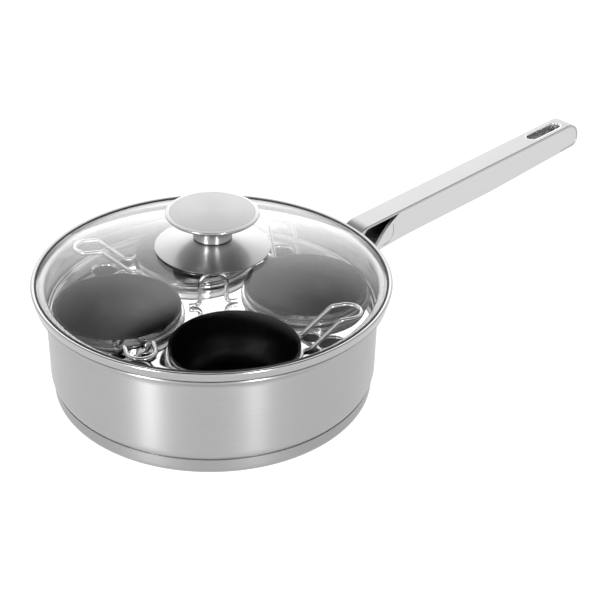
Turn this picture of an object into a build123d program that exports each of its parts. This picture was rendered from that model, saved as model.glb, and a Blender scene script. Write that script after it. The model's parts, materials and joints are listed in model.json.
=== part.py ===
from build123d import *
import os
from math import asin, degrees, radians, sin, sqrt

# Saucepan with a glass lid and an insert that holds four cups.
# Millimetres, +Z up, origin at the centre of the resting face, +X along the handle.
# Outlines are drawn flat, with reach or radius across and height up, then stood upright.

# Pan shell
WALL_R = 97.2
SHELL_SHEET = 0.8
SHELL_FLOOR_Z = 7.0
SHELL_CORNER_R = 10.0
PAN_TOP_Z = 66.9
FLARE_HEIGHT = 6.7
FLARE_REACH = 6.0
FLARE_BEND_R = 6.0
PAN_LIP_WIRE_R = 0.8

# Capsule base
CAP_SHEET = 0.6
CAP_CORNER_R = 5.0
CAP_WRAP_HEIGHT = 3.6

# Handle: a top strip that wraps the nose, and a channel below it.
# Reaches are from the pan's wall, rises and drops from the pan's top.
HANDLE_WIDTH = 15.9
CHANNEL_INSET = 0.2
STRIP_SHEET = 1.6
STRIP_EDGE_R = 0.7
CHANNEL_SIDE = 2.0
PAD_DEPTH = 1.1
STRIP_PAD_FOOT_DROP = 21.4
STRIP_PAD_TOP_DROP = 11.7
STRIP_PAD_BEND_R = 9.0
STRIP_KNEE_REACH = 15.3
STRIP_KNEE_RISE = 3.3
STRIP_KNEE_R = 14.0
NOSE_REACH = 221.1
NOSE_TOP_RISE = 25.7
NOSE_HEIGHT = 18.0
NOSE_TOP_R = 10.6
NOSE_FOOT_R = 6.0
STRIP_RETURN = 16.3
CHANNEL_PAD_FOOT_DROP = 46.9
CHANNEL_PAD_TOP_DROP = 25.4
CHANNEL_PAD_BEND_R = 8.0
CHANNEL_ROOT_REACH = 24.8
CHANNEL_ROOT_DROP = 17.2
CHANNEL_ROOT_R = 16.0
BELLY_REACH = 53.5
BELLY_DROP = 12.8
WAIST_REACH = 131.3
WAIST_DROP = 5.0
LONG_BEND_R = 400.0
MOUTH_TOP_REACH = 54.3
MOUTH_TOP_RISE = 9.1
MOUTH_MID_REACH = 35.8
MOUTH_MID_DROP = 2.3
FACET_DEPTH = 0.4
FACET_FRONT_REACH = 29.4
FACET_FRONT_DROP = 12.5
FACET_TOP_REACH = 40.4
FACET_TOP_DROP = 0.9
FACET_FOOT_REACH = 32.4
FACET_FOOT_DROP = 14.3
FACET_BOW_REACH = 41.2
FACET_BOW_DROP = 8.3
SLOT_LENGTH = 31.0
SLOT_WIDTH = 8.0
SLOT_SETBACK = 29.8
EYELET_WALL = 1.0

# Glass dome and its gasket
GLASS_SHEET = 4.0
GLASS_INSET = 0.9
GLASS_EDGE_RISE = 5.6
GLASS_DOME_RISE = 20.5
GLASS_HOLE_R = 4.5
GASKET_GRIP = 0.9
GASKET_LIP_SHEET = 0.2
GASKET_LIP_RISE = 0.75

# Lid band, a pressed ring that grips the gasket and rests on the pan's lip
BAND_SHEET = 0.6
BAND_LIP_GAP = 0.3
BAND_LIP_RISE = 0.4
BAND_TOP_REACH = 1.8
BAND_TOP_RISE = 1.1
BAND_TOP_BEND_R = 0.9
BAND_FOOT_REACH = 0.5
BAND_FOOT_BEND_R = 0.8
COLLAR_CLEARANCE = 1.2
COLLAR_BEND_R = 1.5
COLLAR_DEPTH = 5.9

# Knob, from the glass up
SKIRT_TOP_RISE = 4.2
SKIRT_EDGE_DROP = 1.0
SKIRT_SHEET = 0.8
SKIRT_BEND_R = 3.0
SKIRT_R = 33.3
SHOULDER_REACH = 0.6
SEAL_INSET = 0.2
RING_INSET = 0.5
RING_HEIGHT = 0.8
NECK_R = 11.2
NECK_HEIGHT = 7.2
NECK_BEND_R = 7.0
NECK_FLARE_HEIGHT = 6.0
CAP_DISC_R = 24.3
CAP_DISC_SHEET = 1.4
CAP_DISC_DOME = 1.0
KNOB_RIM_REACH = 2.5
KNOB_RIM_RISE = 1.1
KNOB_RIM_FOOT_REACH = 1.4
KNOB_RIM_HEIGHT = 2.3
WASHER_R = 10.0
WASHER_SHEET = 1.4
SCREW_R = 2.5
SCREW_HEAD_R = 4.6
SCREW_HEAD_HEIGHT = 2.6
SCREW_HOLD = 8.0
SCREW_FIT = 0.1
SCREW_BORE_SPARE = 1.0

# Insert plate
PLATE_DROP = 16.4
PLATE_SHEET = 0.8
PLATE_CLEARANCE = 1.2
PLATE_CORNER_R = 2.2
PLATE_RIM_HEIGHT = 3.0
PLATE_RIM_WIRE_R = 0.6
CUP_HOLE_BEND_R = 1.4
CUP_HOLE_DEPTH = 3.0
LARGE_VENT_BEND_R = 1.6
LARGE_VENT_DEPTH = 2.6
SMALL_VENT_BEND_R = 1.1
SMALL_VENT_DEPTH = 2.0
FOOT_WIRE_R = 1.5
FOOT_HALF_SPAN = 5.0

# Shares of the plate's radius
CUP_REACH_SHARE = 0.5844
CUP_HOLE_SHARE = 0.376
LARGE_VENT_SHARE = 0.0755
LARGE_VENT_REACH_SHARE = 0.828
SIDE_VENT_SHARE = 0.0448
SIDE_VENT_REACH_SHARE = 0.7917
INNER_VENT_SHARE = 0.0469
INNER_VENT_REACH_SHARE = 0.6875
FOOT_REACH_SHARE = 0.8854
LOOP_FOOT_SHARE = 0.151

# Lifting loop at the middle of the insert
LOOP_WIRE_R = 1.4
LOOP_HALF_SPAN = 7.9
LOOP_RISE = 22.5
LOOP_BEND_R = 3.2

# Cups. Rises and drops are from the plate's top.
CUP_SHEET = 0.7
CUP_RIM_RISE = 7.5
CUP_SHOULDER_DROP = 7.5
CUP_FLOOR_DROP = 21.5
CUP_TAPER = 1.2
CUP_FLOOR_INSET = 7.6
CUP_FLOOR_BEND_R = 12.0
CUP_SHOULDER_BEND_R = 20.0
CUP_LIP_WIRE_R = 0.5
LINING_SHEET = 0.3
LINING_DROP = 1.7

# Wire round each cup, with its rising finger loop
CUP_WIRE_R = 1.3
GRIP_HALF_WIDTH = 7.8
GRIP_ROOT_BEND_R = 4.0
GRIP_FLAT = 4.7
GRIP_SLOPE_SHARE = 0.717
GRIP_BEND_R = 4.0

# Clearances
SEAT_GAP = 0.3
GASKET_GAP = 0.1
DISC_GAP = 0.1
WASHER_GAP = 0.2
CUP_WIRE_GAP = 0.05
GRIP_CLEARANCE = 0.6
OVERRUN = 5.0

# Angles, in degrees
CUP_ANGLE = -24.3
LARGE_VENT_ANGLE = 45.0
SIDE_VENT_ANGLE = 34.5
INNER_VENT_ANGLE = 44.5
FOOT_ANGLE = 58.0
CUP_TURNS = (0.0, 1.3, 3.0, 3.6)

CUP_COUNT = len(CUP_TURNS)
CUP_STEP = 360 / CUP_COUNT

# What follows from the pan
PAN_LIP_R = WALL_R + FLARE_REACH
CAP_TOP_Z = SHELL_FLOOR_Z + CAP_WRAP_HEIGHT
CORNER_WRAP = sqrt(SHELL_CORNER_R**2 - (SHELL_CORNER_R - CAP_WRAP_HEIGHT) ** 2)
CAP_R = WALL_R - SHELL_CORNER_R + CORNER_WRAP + SEAT_GAP + CAP_SHEET
GLASS_R = PAN_LIP_R - GLASS_INSET
GLASS_EDGE_TOP_Z = PAN_TOP_Z + GLASS_EDGE_RISE
GLASS_CROWN_Z = GLASS_EDGE_TOP_Z + GLASS_DOME_RISE
COLLAR_R = WALL_R - COLLAR_CLEARANCE
BAND_TOP_Z = GLASS_EDGE_TOP_Z + BAND_TOP_RISE
BAND_FOOT_R = PAN_LIP_R + BAND_FOOT_REACH
BAND_TOP_R = PAN_LIP_R + BAND_TOP_REACH

# What follows from the handle's width and nose
CHANNEL_WIDTH = HANDLE_WIDTH - 2 * CHANNEL_INSET
NOSE_X = WALL_R + NOSE_REACH
SLOT_CENTRE_X = NOSE_X - SLOT_SETBACK

# What follows from the glass
SKIRT_TOP_Z = GLASS_CROWN_Z + SKIRT_TOP_RISE
NECK_FOOT_Z = SKIRT_TOP_Z + RING_HEIGHT
NECK_BEND_Z = NECK_FOOT_Z + NECK_HEIGHT
KNOB_RIM_FOOT_Z = NECK_BEND_Z + NECK_FLARE_HEIGHT
CAP_DISC_EDGE_Z = KNOB_RIM_FOOT_Z + KNOB_RIM_HEIGHT
CAP_DISC_FOOT_Z = CAP_DISC_EDGE_Z - CAP_DISC_SHEET
WASHER_TOP_Z = GLASS_CROWN_Z - GLASS_SHEET - WASHER_GAP

# What follows from the insert plate
PLATE_TOP_Z = PAN_TOP_Z - PLATE_DROP
PLATE_R = WALL_R - PLATE_CLEARANCE
CUP_REACH = PLATE_R * CUP_REACH_SHARE
CUP_MOUTH_R = PLATE_R * CUP_HOLE_SHARE
CUP_SHOULDER_R = CUP_MOUTH_R - CUP_TAPER
CUP_RIM_Z = PLATE_TOP_Z + CUP_RIM_RISE
CUP_MOUTH_Z = CUP_RIM_Z - CUP_LIP_WIRE_R
CUP_SHOULDER_Z = PLATE_TOP_Z - CUP_SHOULDER_DROP


def upright(flat):
    """Stands a flat outline up, with its height along +Z."""
    return Plane.XZ * flat


def turned(face):
    """Turns a flat section about the vertical axis."""
    return revolve(upright(face), Axis.Z)


def sheet_face(path, thickness, side=Side.LEFT):
    """The section of a sheet whose one surface is the path."""
    return make_face(offset(path, amount=thickness, side=side, closed=True))


def corner_box(low, high):
    """A rectangle between two corners."""
    centre = ((low[0] + high[0]) / 2, (low[1] + high[1]) / 2)
    return Pos(*centre) * Rectangle(high[0] - low[0], high[1] - low[1])


def dome_radius(edge_r, rise):
    """Radius of the sphere that rises by rise from a round edge to its crown."""
    return (edge_r**2 + rise**2) / (2 * rise)


def wire_along(path, radius):
    """A round wire whose centre follows the path."""
    return sweep(Plane(path @ 0, z_dir=path % 0) * Circle(radius), path=path)


def both_sides(half, plane):
    """A half piece joined to its mirror image."""
    return half + mirror(half, about=plane)


def around(piece, angle, reach=0.0, turn=0.0):
    """Sets a piece out from the axis by reach, at an angle, turned about itself."""
    return Rot(0, 0, angle) * Pos(reach, 0, 0) * Rot(0, 0, turn) * piece


# Pan


def pan_body():
    """Thin shell: flat floor, rounded corner, upright wall, flared mouth and a rolled lip."""
    lip_r = PAN_LIP_R - PAN_LIP_WIRE_R
    lip_z = PAN_TOP_Z - PAN_LIP_WIRE_R
    path = FilletPolyline(
        (0, SHELL_FLOOR_Z),
        (WALL_R, SHELL_FLOOR_Z),
        (WALL_R, PAN_TOP_Z - FLARE_HEIGHT),
        (lip_r, lip_z),
        radius=[SHELL_CORNER_R, FLARE_BEND_R],
    )
    lip = Pos(lip_r, lip_z) * Circle(PAN_LIP_WIRE_R)
    return turned(sheet_face(path, SHELL_SHEET) + lip)


def cap_path():
    """The outer line of the base cap."""
    return FilletPolyline(
        (0, 0), (CAP_R, 0), (CAP_R, CAP_TOP_Z), radius=CAP_CORNER_R
    )


def base_cap():
    """Thin cup under the pan, open upwards."""
    return turned(sheet_face(cap_path(), CAP_SHEET))


def base_core():
    """Aluminium disc that fills the cap up to the pan's floor and corner."""
    path = cap_path()
    top = Line(path @ 1, (0, CAP_TOP_Z))
    inside = make_face([*path.edges(), top, Line((0, CAP_TOP_Z), (0, 0))])
    inside -= sheet_face(path, CAP_SHEET)
    shell_corner = Pos(WALL_R - SHELL_CORNER_R, SHELL_FLOOR_Z + SHELL_CORNER_R) * Circle(SHELL_CORNER_R)
    over_floor = corner_box((0, SHELL_FLOOR_Z), (WALL_R - SHELL_CORNER_R, CAP_TOP_Z + OVERRUN))
    return turned(inside - over_floor - shell_corner)


# Handle


def strip_path():
    """Outer line of the top strip, from its weld pad over the top and round the nose."""
    pad_x = WALL_R + PAD_DEPTH - STRIP_SHEET
    nose_top_z = PAN_TOP_Z + NOSE_TOP_RISE
    nose_foot_z = nose_top_z - NOSE_HEIGHT
    slope = (nose_foot_z - PAN_TOP_Z + WAIST_DROP) / (NOSE_REACH - WAIST_REACH)
    return FilletPolyline(
        (pad_x, PAN_TOP_Z - STRIP_PAD_FOOT_DROP),
        (pad_x, PAN_TOP_Z - STRIP_PAD_TOP_DROP),
        (WALL_R + STRIP_KNEE_REACH, PAN_TOP_Z + STRIP_KNEE_RISE),
        (NOSE_X, nose_top_z),
        (NOSE_X, nose_foot_z),
        (NOSE_X - STRIP_RETURN, nose_foot_z - slope * STRIP_RETURN),
        radius=[STRIP_PAD_BEND_R, STRIP_KNEE_R, NOSE_TOP_R, NOSE_FOOT_R],
    )


def channel_root():
    """Where the channel's bottom leaves the weld pad's bend."""
    return (WALL_R + CHANNEL_ROOT_REACH, PAN_TOP_Z - CHANNEL_ROOT_DROP)


def channel_path():
    """Outer line of the channel's bottom, from its weld pad to the strip's end."""
    pad_x = WALL_R + PAD_DEPTH
    return FilletPolyline(
        (pad_x, PAN_TOP_Z - CHANNEL_PAD_FOOT_DROP),
        (pad_x, PAN_TOP_Z - CHANNEL_PAD_TOP_DROP),
        channel_root(),
        (WALL_R + BELLY_REACH, PAN_TOP_Z - BELLY_DROP),
        (WALL_R + WAIST_REACH, PAN_TOP_Z - WAIST_DROP),
        strip_path() @ 1,
        radius=[CHANNEL_PAD_BEND_R, CHANNEL_ROOT_R, LONG_BEND_R, LONG_BEND_R],
    )


def handle_prism(face, width):
    """A flat side outline made as wide as asked, centred on the handle."""
    return extrude(upright(face), amount=width / 2, both=True)


def handle_outline():
    """The handle's whole side outline, with the space beside the wall."""
    top = strip_path()
    bottom = channel_path()
    wall_line = Line(top @ 0, bottom @ 0)
    return make_face([*top.edges(), *bottom.edges(), wall_line])


def pan_side():
    """The pan's wall as a plain cylinder, to cut the weld pads to its curve."""
    return Pos(0, 0, PAN_TOP_Z / 2) * Cylinder(WALL_R, PAN_TOP_Z)


def slot_prism(grow):
    """The hanging slot as an upright prism, wider by grow on every side."""
    height = 2 * PAN_TOP_Z
    outline = SlotOverall(SLOT_LENGTH + 2 * grow, SLOT_WIDTH + 2 * grow)
    return Pos(SLOT_CENTRE_X, 0, 0) * extrude(outline, amount=height)


def handle_strip():
    """Top strip: welded below the lip, bent over the top, wrapped round the nose."""
    strip = handle_prism(sheet_face(strip_path(), STRIP_SHEET, Side.RIGHT), HANDLE_WIDTH)
    long_edges = strip.edges().filter_by(lambda edge: abs(abs(edge.center().Y) - HANDLE_WIDTH / 2) < SEAT_GAP)
    outer = [edge for edge in long_edges if is_outer(edge)]
    strip = fillet(outer, STRIP_EDGE_R)
    return strip - pan_side() - slot_prism(EYELET_WALL)


def is_outer(edge):
    """True for an edge on the strip's outer line."""
    middle = edge @ 0.5
    flat = Vertex(middle.X, middle.Z)
    return strip_path().distance_to(flat) < SEAT_GAP


def handle_channel():
    """Two side plates and a bottom, open at the mouth beside the pan."""
    outline = handle_outline()
    under_strip = outline - sheet_face(strip_path(), STRIP_SHEET, Side.RIGHT)
    bottom = sheet_face(channel_path(), STRIP_SHEET)
    root = channel_root()
    mouth_top = (WALL_R + MOUTH_TOP_REACH, PAN_TOP_Z + MOUTH_TOP_RISE)
    mouth_mid = (WALL_R + MOUTH_MID_REACH, PAN_TOP_Z - MOUTH_MID_DROP)
    foot_z = PAN_TOP_Z - CHANNEL_PAD_FOOT_DROP
    inside_x = WALL_R - OVERRUN
    around_pad = Polyline(root, (root[0], foot_z), (inside_x, foot_z), (inside_x, mouth_top[1]), mouth_top)
    mouth = make_face([ThreePointArc(mouth_top, mouth_mid, root), *around_pad.edges()])
    sides = under_strip - mouth
    solid = handle_prism(sides + bottom, CHANNEL_WIDTH)
    hollow = handle_prism(under_strip - bottom, CHANNEL_WIDTH - 2 * CHANNEL_SIDE)
    channel = solid - hollow - pan_side() - slot_prism(EYELET_WALL)
    return channel - facet_cuts()


def facet_cuts():
    """Shallow leaf-shaped facets behind the mouth, one on each side plate."""
    front = (WALL_R + FACET_FRONT_REACH, PAN_TOP_Z - FACET_FRONT_DROP)
    top = (WALL_R + FACET_TOP_REACH, PAN_TOP_Z - FACET_TOP_DROP)
    bow = (WALL_R + FACET_BOW_REACH, PAN_TOP_Z - FACET_BOW_DROP)
    foot = (WALL_R + FACET_FOOT_REACH, PAN_TOP_Z - FACET_FOOT_DROP)
    leaf = make_face([Line(front, top), ThreePointArc(top, bow, foot), Line(foot, front)])
    through = handle_prism(leaf, CHANNEL_WIDTH + OVERRUN)
    return through - handle_prism(leaf, CHANNEL_WIDTH - 2 * FACET_DEPTH)


def handle_eyelet():
    """Liner of the hanging slot, flush with the handle's top and bottom."""
    tube = slot_prism(EYELET_WALL) - slot_prism(0)
    return tube & handle_prism(handle_outline(), HANDLE_WIDTH)


# Lid


def band_path():
    """Outer line of the band: top lip, side, flange over the pan's lip and collar."""
    flange_z = PAN_TOP_Z + SEAT_GAP
    return FilletPolyline(
        (GLASS_R + BAND_LIP_GAP, GLASS_EDGE_TOP_Z + BAND_LIP_RISE),
        (BAND_TOP_R, BAND_TOP_Z),
        (BAND_FOOT_R, flange_z),
        (COLLAR_R, flange_z),
        (COLLAR_R, PAN_TOP_Z - COLLAR_DEPTH),
        radius=[BAND_TOP_BEND_R, BAND_FOOT_BEND_R, COLLAR_BEND_R],
    )


def lid_band():
    """Pressed ring that holds the glass and locates the lid on the pan."""
    return turned(sheet_face(band_path(), BAND_SHEET, Side.RIGHT))


def glass_face():
    """Half section of the glass, from its centre hole to its edge."""
    dome_r = dome_radius(GLASS_R, GLASS_CROWN_Z - GLASS_EDGE_TOP_Z)
    centre = Pos(0, GLASS_CROWN_Z - dome_r)
    ring = centre * Circle(dome_r) - centre * Circle(dome_r - GLASS_SHEET)
    return ring & corner_box((GLASS_HOLE_R, 0), (GLASS_R, GLASS_CROWN_Z + OVERRUN))


def lid_glass():
    """Domed glass disc with a hole for the knob's screw."""
    return turned(glass_face())


def lid_gasket():
    """Rubber ring that wraps the glass's edge inside the band."""
    floor_z = PAN_TOP_Z + SEAT_GAP + BAND_SHEET
    under_lip_z = GLASS_EDGE_TOP_Z + BAND_LIP_RISE - BAND_SHEET - GASKET_GAP
    top_z = GLASS_EDGE_TOP_Z + GASKET_LIP_RISE
    inner_r = GLASS_R - GASKET_GRIP
    lip_r = GLASS_R + GASKET_LIP_SHEET
    drop_share = (under_lip_z - floor_z) / (BAND_TOP_Z - floor_z)
    wall_foot_r = BAND_FOOT_R - BAND_SHEET - GASKET_GAP
    wall_top_r = wall_foot_r + (BAND_TOP_R - BAND_FOOT_R) * drop_share
    section = make_face(
        Polyline(
            (inner_r, floor_z),
            (wall_foot_r, floor_z),
            (wall_top_r, under_lip_z),
            (lip_r, under_lip_z),
            (lip_r, top_z),
            (inner_r, top_z),
            close=True,
        )
    )
    return turned(section - glass_face())


# Knob


def knob_cap():
    """Slightly domed disc set into the knob's rim."""
    dome_r = dome_radius(CAP_DISC_R, CAP_DISC_DOME)
    crown_z = CAP_DISC_EDGE_Z + CAP_DISC_DOME
    ball = Pos(0, crown_z - dome_r) * Circle(dome_r)
    return turned(ball & corner_box((0, CAP_DISC_FOOT_Z), (CAP_DISC_R, crown_z + OVERRUN)))


def knob_stem():
    """Flared neck with a rounded rim, a recess for the cap and a blind bore for the screw."""
    recess_r = CAP_DISC_R + DISC_GAP
    bore_r = SCREW_R + SCREW_FIT
    bore_end_z = NECK_FOOT_Z + SCREW_HOLD + SCREW_BORE_SPARE
    rim_foot = (CAP_DISC_R + KNOB_RIM_FOOT_REACH, KNOB_RIM_FOOT_Z)
    rim_side = (CAP_DISC_R + KNOB_RIM_REACH, KNOB_RIM_FOOT_Z + KNOB_RIM_RISE)
    flare = FilletPolyline((NECK_R, NECK_FOOT_Z), (NECK_R, NECK_BEND_Z), rim_foot, radius=NECK_BEND_R)
    rim = ThreePointArc(rim_foot, rim_side, (recess_r, CAP_DISC_EDGE_Z))
    rest = Polyline(
        (recess_r, CAP_DISC_EDGE_Z),
        (recess_r, CAP_DISC_FOOT_Z),
        (0, CAP_DISC_FOOT_Z),
        (0, bore_end_z),
        (bore_r, bore_end_z),
        (bore_r, NECK_FOOT_Z),
        (NECK_R, NECK_FOOT_Z),
    )
    return turned(make_face([*flare.edges(), rim, *rest.edges()]))


def knob_ring():
    """Black ring between the neck and the skirt."""
    return turned(corner_box((SCREW_R + SCREW_FIT, SKIRT_TOP_Z), (NECK_R - RING_INSET, NECK_FOOT_Z)))


def knob_skirt():
    """Thin flared skirt that hides the seal and all but meets the glass."""
    path = FilletPolyline(
        (SCREW_R + SCREW_FIT, SKIRT_TOP_Z),
        (NECK_R + SHOULDER_REACH, SKIRT_TOP_Z),
        (SKIRT_R, GLASS_CROWN_Z - SKIRT_EDGE_DROP),
        radius=SKIRT_BEND_R,
    )
    return turned(sheet_face(path, SKIRT_SHEET, Side.RIGHT))


def knob_seal():
    """Rubber pad between the glass and the skirt."""
    top = (NECK_R - SEAL_INSET, SKIRT_TOP_Z - SKIRT_SHEET)
    return turned(corner_box((SCREW_R + SCREW_FIT, GLASS_CROWN_Z), top))


def knob_washer():
    """Washer under the glass."""
    return turned(corner_box((SCREW_R + SCREW_FIT, WASHER_TOP_Z - WASHER_SHEET), (WASHER_R, WASHER_TOP_Z)))


def knob_screw():
    """Screw from under the glass up into the neck."""
    head_top_z = WASHER_TOP_Z - WASHER_SHEET
    head = corner_box((0, head_top_z - SCREW_HEAD_HEIGHT), (SCREW_HEAD_R, head_top_z))
    shank = corner_box((0, head_top_z - SCREW_HEAD_HEIGHT), (SCREW_R, NECK_FOOT_Z + SCREW_HOLD))
    return turned(head + shank)


# Insert


def pressed_rim(hole_r, bend_r, depth):
    """Rolled edge of a hole in the plate: the sheet bends down into a short collar."""
    path = FilletPolyline(
        (hole_r + bend_r + PLATE_SHEET, PLATE_TOP_Z),
        (hole_r, PLATE_TOP_Z),
        (hole_r, PLATE_TOP_Z - depth),
        radius=bend_r,
    )
    return turned(sheet_face(path, PLATE_SHEET))


def hole_cut(hole_r, bend_r):
    """What is cut from the plate before the rolled edge is put in."""
    return turned(
        corner_box((0, PLATE_TOP_Z - PLATE_SHEET - OVERRUN), (hole_r + bend_r, PLATE_TOP_Z + OVERRUN))
    )


def insert_holes():
    """Every hole of the plate as (radius, bend radius, collar depth, reach, angle)."""
    holes = []
    for index in range(CUP_COUNT):
        start = CUP_ANGLE + CUP_STEP * index
        holes.append((CUP_MOUTH_R, CUP_HOLE_BEND_R, CUP_HOLE_DEPTH, CUP_REACH, start))
        large = (PLATE_R * LARGE_VENT_SHARE, LARGE_VENT_BEND_R, LARGE_VENT_DEPTH)
        holes.append((*large, PLATE_R * LARGE_VENT_REACH_SHARE, start + LARGE_VENT_ANGLE))
        side = (PLATE_R * SIDE_VENT_SHARE, SMALL_VENT_BEND_R, SMALL_VENT_DEPTH)
        holes.append((*side, PLATE_R * SIDE_VENT_REACH_SHARE, start + SIDE_VENT_ANGLE))
        inner = (PLATE_R * INNER_VENT_SHARE, SMALL_VENT_BEND_R, SMALL_VENT_DEPTH)
        holes.append((*inner, PLATE_R * INNER_VENT_REACH_SHARE, start + INNER_VENT_ANGLE))
    return holes


def insert_plate():
    """Round plate with an upturned, rolled edge, four cup holes and steam holes."""
    rim_r = PLATE_R - PLATE_RIM_WIRE_R
    rim_z = PLATE_TOP_Z + PLATE_RIM_HEIGHT - PLATE_RIM_WIRE_R
    path = FilletPolyline(
        (0, PLATE_TOP_Z - PLATE_SHEET),
        (PLATE_R, PLATE_TOP_Z - PLATE_SHEET),
        (PLATE_R, rim_z),
        radius=PLATE_CORNER_R,
    )
    rim = Pos(rim_r, rim_z) * Circle(PLATE_RIM_WIRE_R)
    plate = turned(sheet_face(path, PLATE_SHEET) + rim)
    holes = insert_holes()
    plate -= [around(hole_cut(radius, bend), angle, reach) for radius, bend, _, reach, angle in holes]
    for radius, bend, depth, reach, angle in holes:
        plate += around(pressed_rim(radius, bend, depth), angle, reach)
    return plate


def insert_loop():
    """Wire arch at the middle of the plate, with its feet turned out along the plate."""
    foot_z = PLATE_TOP_Z + LOOP_WIRE_R
    arch_z = PLATE_TOP_Z + LOOP_RISE - LOOP_WIRE_R - LOOP_HALF_SPAN
    leg = FilletPolyline(
        (PLATE_R * LOOP_FOOT_SHARE, 0, foot_z),
        (LOOP_HALF_SPAN, 0, foot_z),
        (LOOP_HALF_SPAN, 0, arch_z),
        radius=LOOP_BEND_R,
    )
    shoulder = LOOP_HALF_SPAN * sin(radians(45))
    arch = ThreePointArc(
        (LOOP_HALF_SPAN, 0, arch_z), (shoulder, 0, arch_z + shoulder), (0, 0, arch_z + LOOP_HALF_SPAN)
    )
    half = wire_along(Wire([*leg.edges(), arch]), LOOP_WIRE_R)
    return around(both_sides(half, Plane.YZ), CUP_ANGLE)


def insert_foot(index):
    """U-shaped wire foot between two cups, from the plate down to the pan's floor."""
    top_z = PLATE_TOP_Z - PLATE_SHEET
    floor_z = SHELL_FLOOR_Z + SHELL_SHEET
    bend_z = floor_z + SEAT_GAP + FOOT_WIRE_R + FOOT_HALF_SPAN
    shoulder = FOOT_HALF_SPAN * sin(radians(45))
    leg = Line((0, FOOT_HALF_SPAN, top_z), (0, FOOT_HALF_SPAN, bend_z))
    bend = ThreePointArc(
        (0, FOOT_HALF_SPAN, bend_z), (0, shoulder, bend_z - shoulder), (0, 0, bend_z - FOOT_HALF_SPAN)
    )
    half = wire_along(Wire([leg, bend]), FOOT_WIRE_R)
    angle = CUP_ANGLE + CUP_STEP * index + FOOT_ANGLE
    return around(both_sides(half, Plane.XZ), angle, PLATE_R * FOOT_REACH_SHARE)


# Cups


def in_cup_place(piece, index):
    """Sets a piece made about the cup's own axis in its hole."""
    return around(piece, CUP_ANGLE + CUP_STEP * index, CUP_REACH, CUP_TURNS[index])


def cup_wall_r(height):
    """Outer radius of the cup's gently tapered wall at a height."""
    wall_share = (height - CUP_SHOULDER_Z) / (CUP_MOUTH_Z - CUP_SHOULDER_Z)
    return CUP_SHOULDER_R + CUP_TAPER * wall_share


def cup_path(top_z):
    """Outer line of the cup, from the middle of its floor up to top_z."""
    floor_z = PLATE_TOP_Z - CUP_FLOOR_DROP
    return FilletPolyline(
        (0, floor_z),
        (CUP_MOUTH_R - CUP_FLOOR_INSET, floor_z),
        (CUP_SHOULDER_R, CUP_SHOULDER_Z),
        (cup_wall_r(top_z), top_z),
        radius=[CUP_FLOOR_BEND_R, CUP_SHOULDER_BEND_R],
    )


def cup_shell(index):
    """Steel cup with a rounded bowl and a thin rolled lip."""
    lip = Pos(CUP_MOUTH_R, CUP_MOUTH_Z) * Circle(CUP_LIP_WIRE_R)
    return in_cup_place(turned(sheet_face(cup_path(CUP_MOUTH_Z), CUP_SHEET) + lip), index)


def cup_lining(index):
    """Black non-stick layer inside the cup, up to a little below its lip."""
    path = cup_path(CUP_RIM_Z - LINING_DROP)
    section = sheet_face(path, CUP_SHEET + LINING_SHEET) - sheet_face(path, CUP_SHEET)
    return in_cup_place(turned(section), index)


def grip_path(base_z):
    """Half of the cup's wire: round the cup, out, up the slope and round the grip's end."""
    ring_r = cup_wall_r(base_z + CUP_WIRE_R) + CUP_WIRE_GAP + CUP_WIRE_R
    root_x = GRIP_HALF_WIDTH + GRIP_ROOT_BEND_R
    root_r = ring_r + GRIP_ROOT_BEND_R
    root_angle = degrees(asin(sqrt(root_r**2 - root_x**2) / root_r))
    root_y = root_r * sin(radians(root_angle))
    ring = CenterArc((0, 0, base_z), ring_r, -90, 90 + root_angle)
    bend = CenterArc((root_x, root_y, base_z), GRIP_ROOT_BEND_R, 180 + root_angle, -root_angle)
    room_r = COLLAR_R - GRIP_CLEARANCE - CUP_WIRE_R - GRIP_HALF_WIDTH
    nose_y = sqrt(room_r**2 - CUP_REACH**2)
    rise_y = ring_r + GRIP_FLAT
    rise_end_y = rise_y + (nose_y - rise_y) * GRIP_SLOPE_SHARE
    top_z = GLASS_EDGE_TOP_Z - GLASS_SHEET - CUP_WIRE_R
    leg = FilletPolyline(
        (GRIP_HALF_WIDTH, root_y, base_z),
        (GRIP_HALF_WIDTH, rise_y, base_z),
        (GRIP_HALF_WIDTH, rise_end_y, top_z),
        (GRIP_HALF_WIDTH, nose_y, top_z),
        radius=GRIP_BEND_R,
    )
    nose = CenterArc((0, nose_y, top_z), GRIP_HALF_WIDTH, 0, 90)
    return Wire([ring, bend, *leg.edges(), nose])


def cup_wire(index):
    """Wire ring that carries the cup on the plate, bent out into a finger loop."""
    base_z = PLATE_TOP_Z + SEAT_GAP + CUP_WIRE_R
    half = wire_along(grip_path(base_z), CUP_WIRE_R)
    return in_cup_place(both_sides(half, Plane.YZ), index)


SINGLE_PIECES = (
    pan_body,
    base_core,
    base_cap,
    handle_strip,
    handle_channel,
    handle_eyelet,
    lid_band,
    lid_gasket,
    lid_glass,
    knob_cap,
    knob_stem,
    knob_ring,
    knob_skirt,
    knob_seal,
    knob_washer,
    knob_screw,
    insert_plate,
    insert_loop,
)
PIECES_PER_CUP = (insert_foot, cup_shell, cup_lining, cup_wire)


def main():
    """Builds every piece and writes one STEP file for each."""
    os.makedirs("parts", exist_ok=True)
    pieces = {build.__name__: build() for build in SINGLE_PIECES}
    for build in PIECES_PER_CUP:
        for index in range(CUP_COUNT):
            pieces[f"{build.__name__}_{index + 1}"] = build(index)
    for name, piece in pieces.items():
        export_step(piece.solid(), os.path.join("parts", f"{name}.step"))


main()
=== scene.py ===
"""Blender scene for a saucepan with a glass lid and an insert that holds four cups.

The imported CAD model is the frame. Every piece here is made in metres in that frame, from sizes
given in millimetres: +Z is up, the origin is the middle of the resting face, and +X runs along
the handle.
"""

from __future__ import annotations

import json
import logging
import math
from collections.abc import Sequence
from dataclasses import dataclass
from enum import Enum

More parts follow.
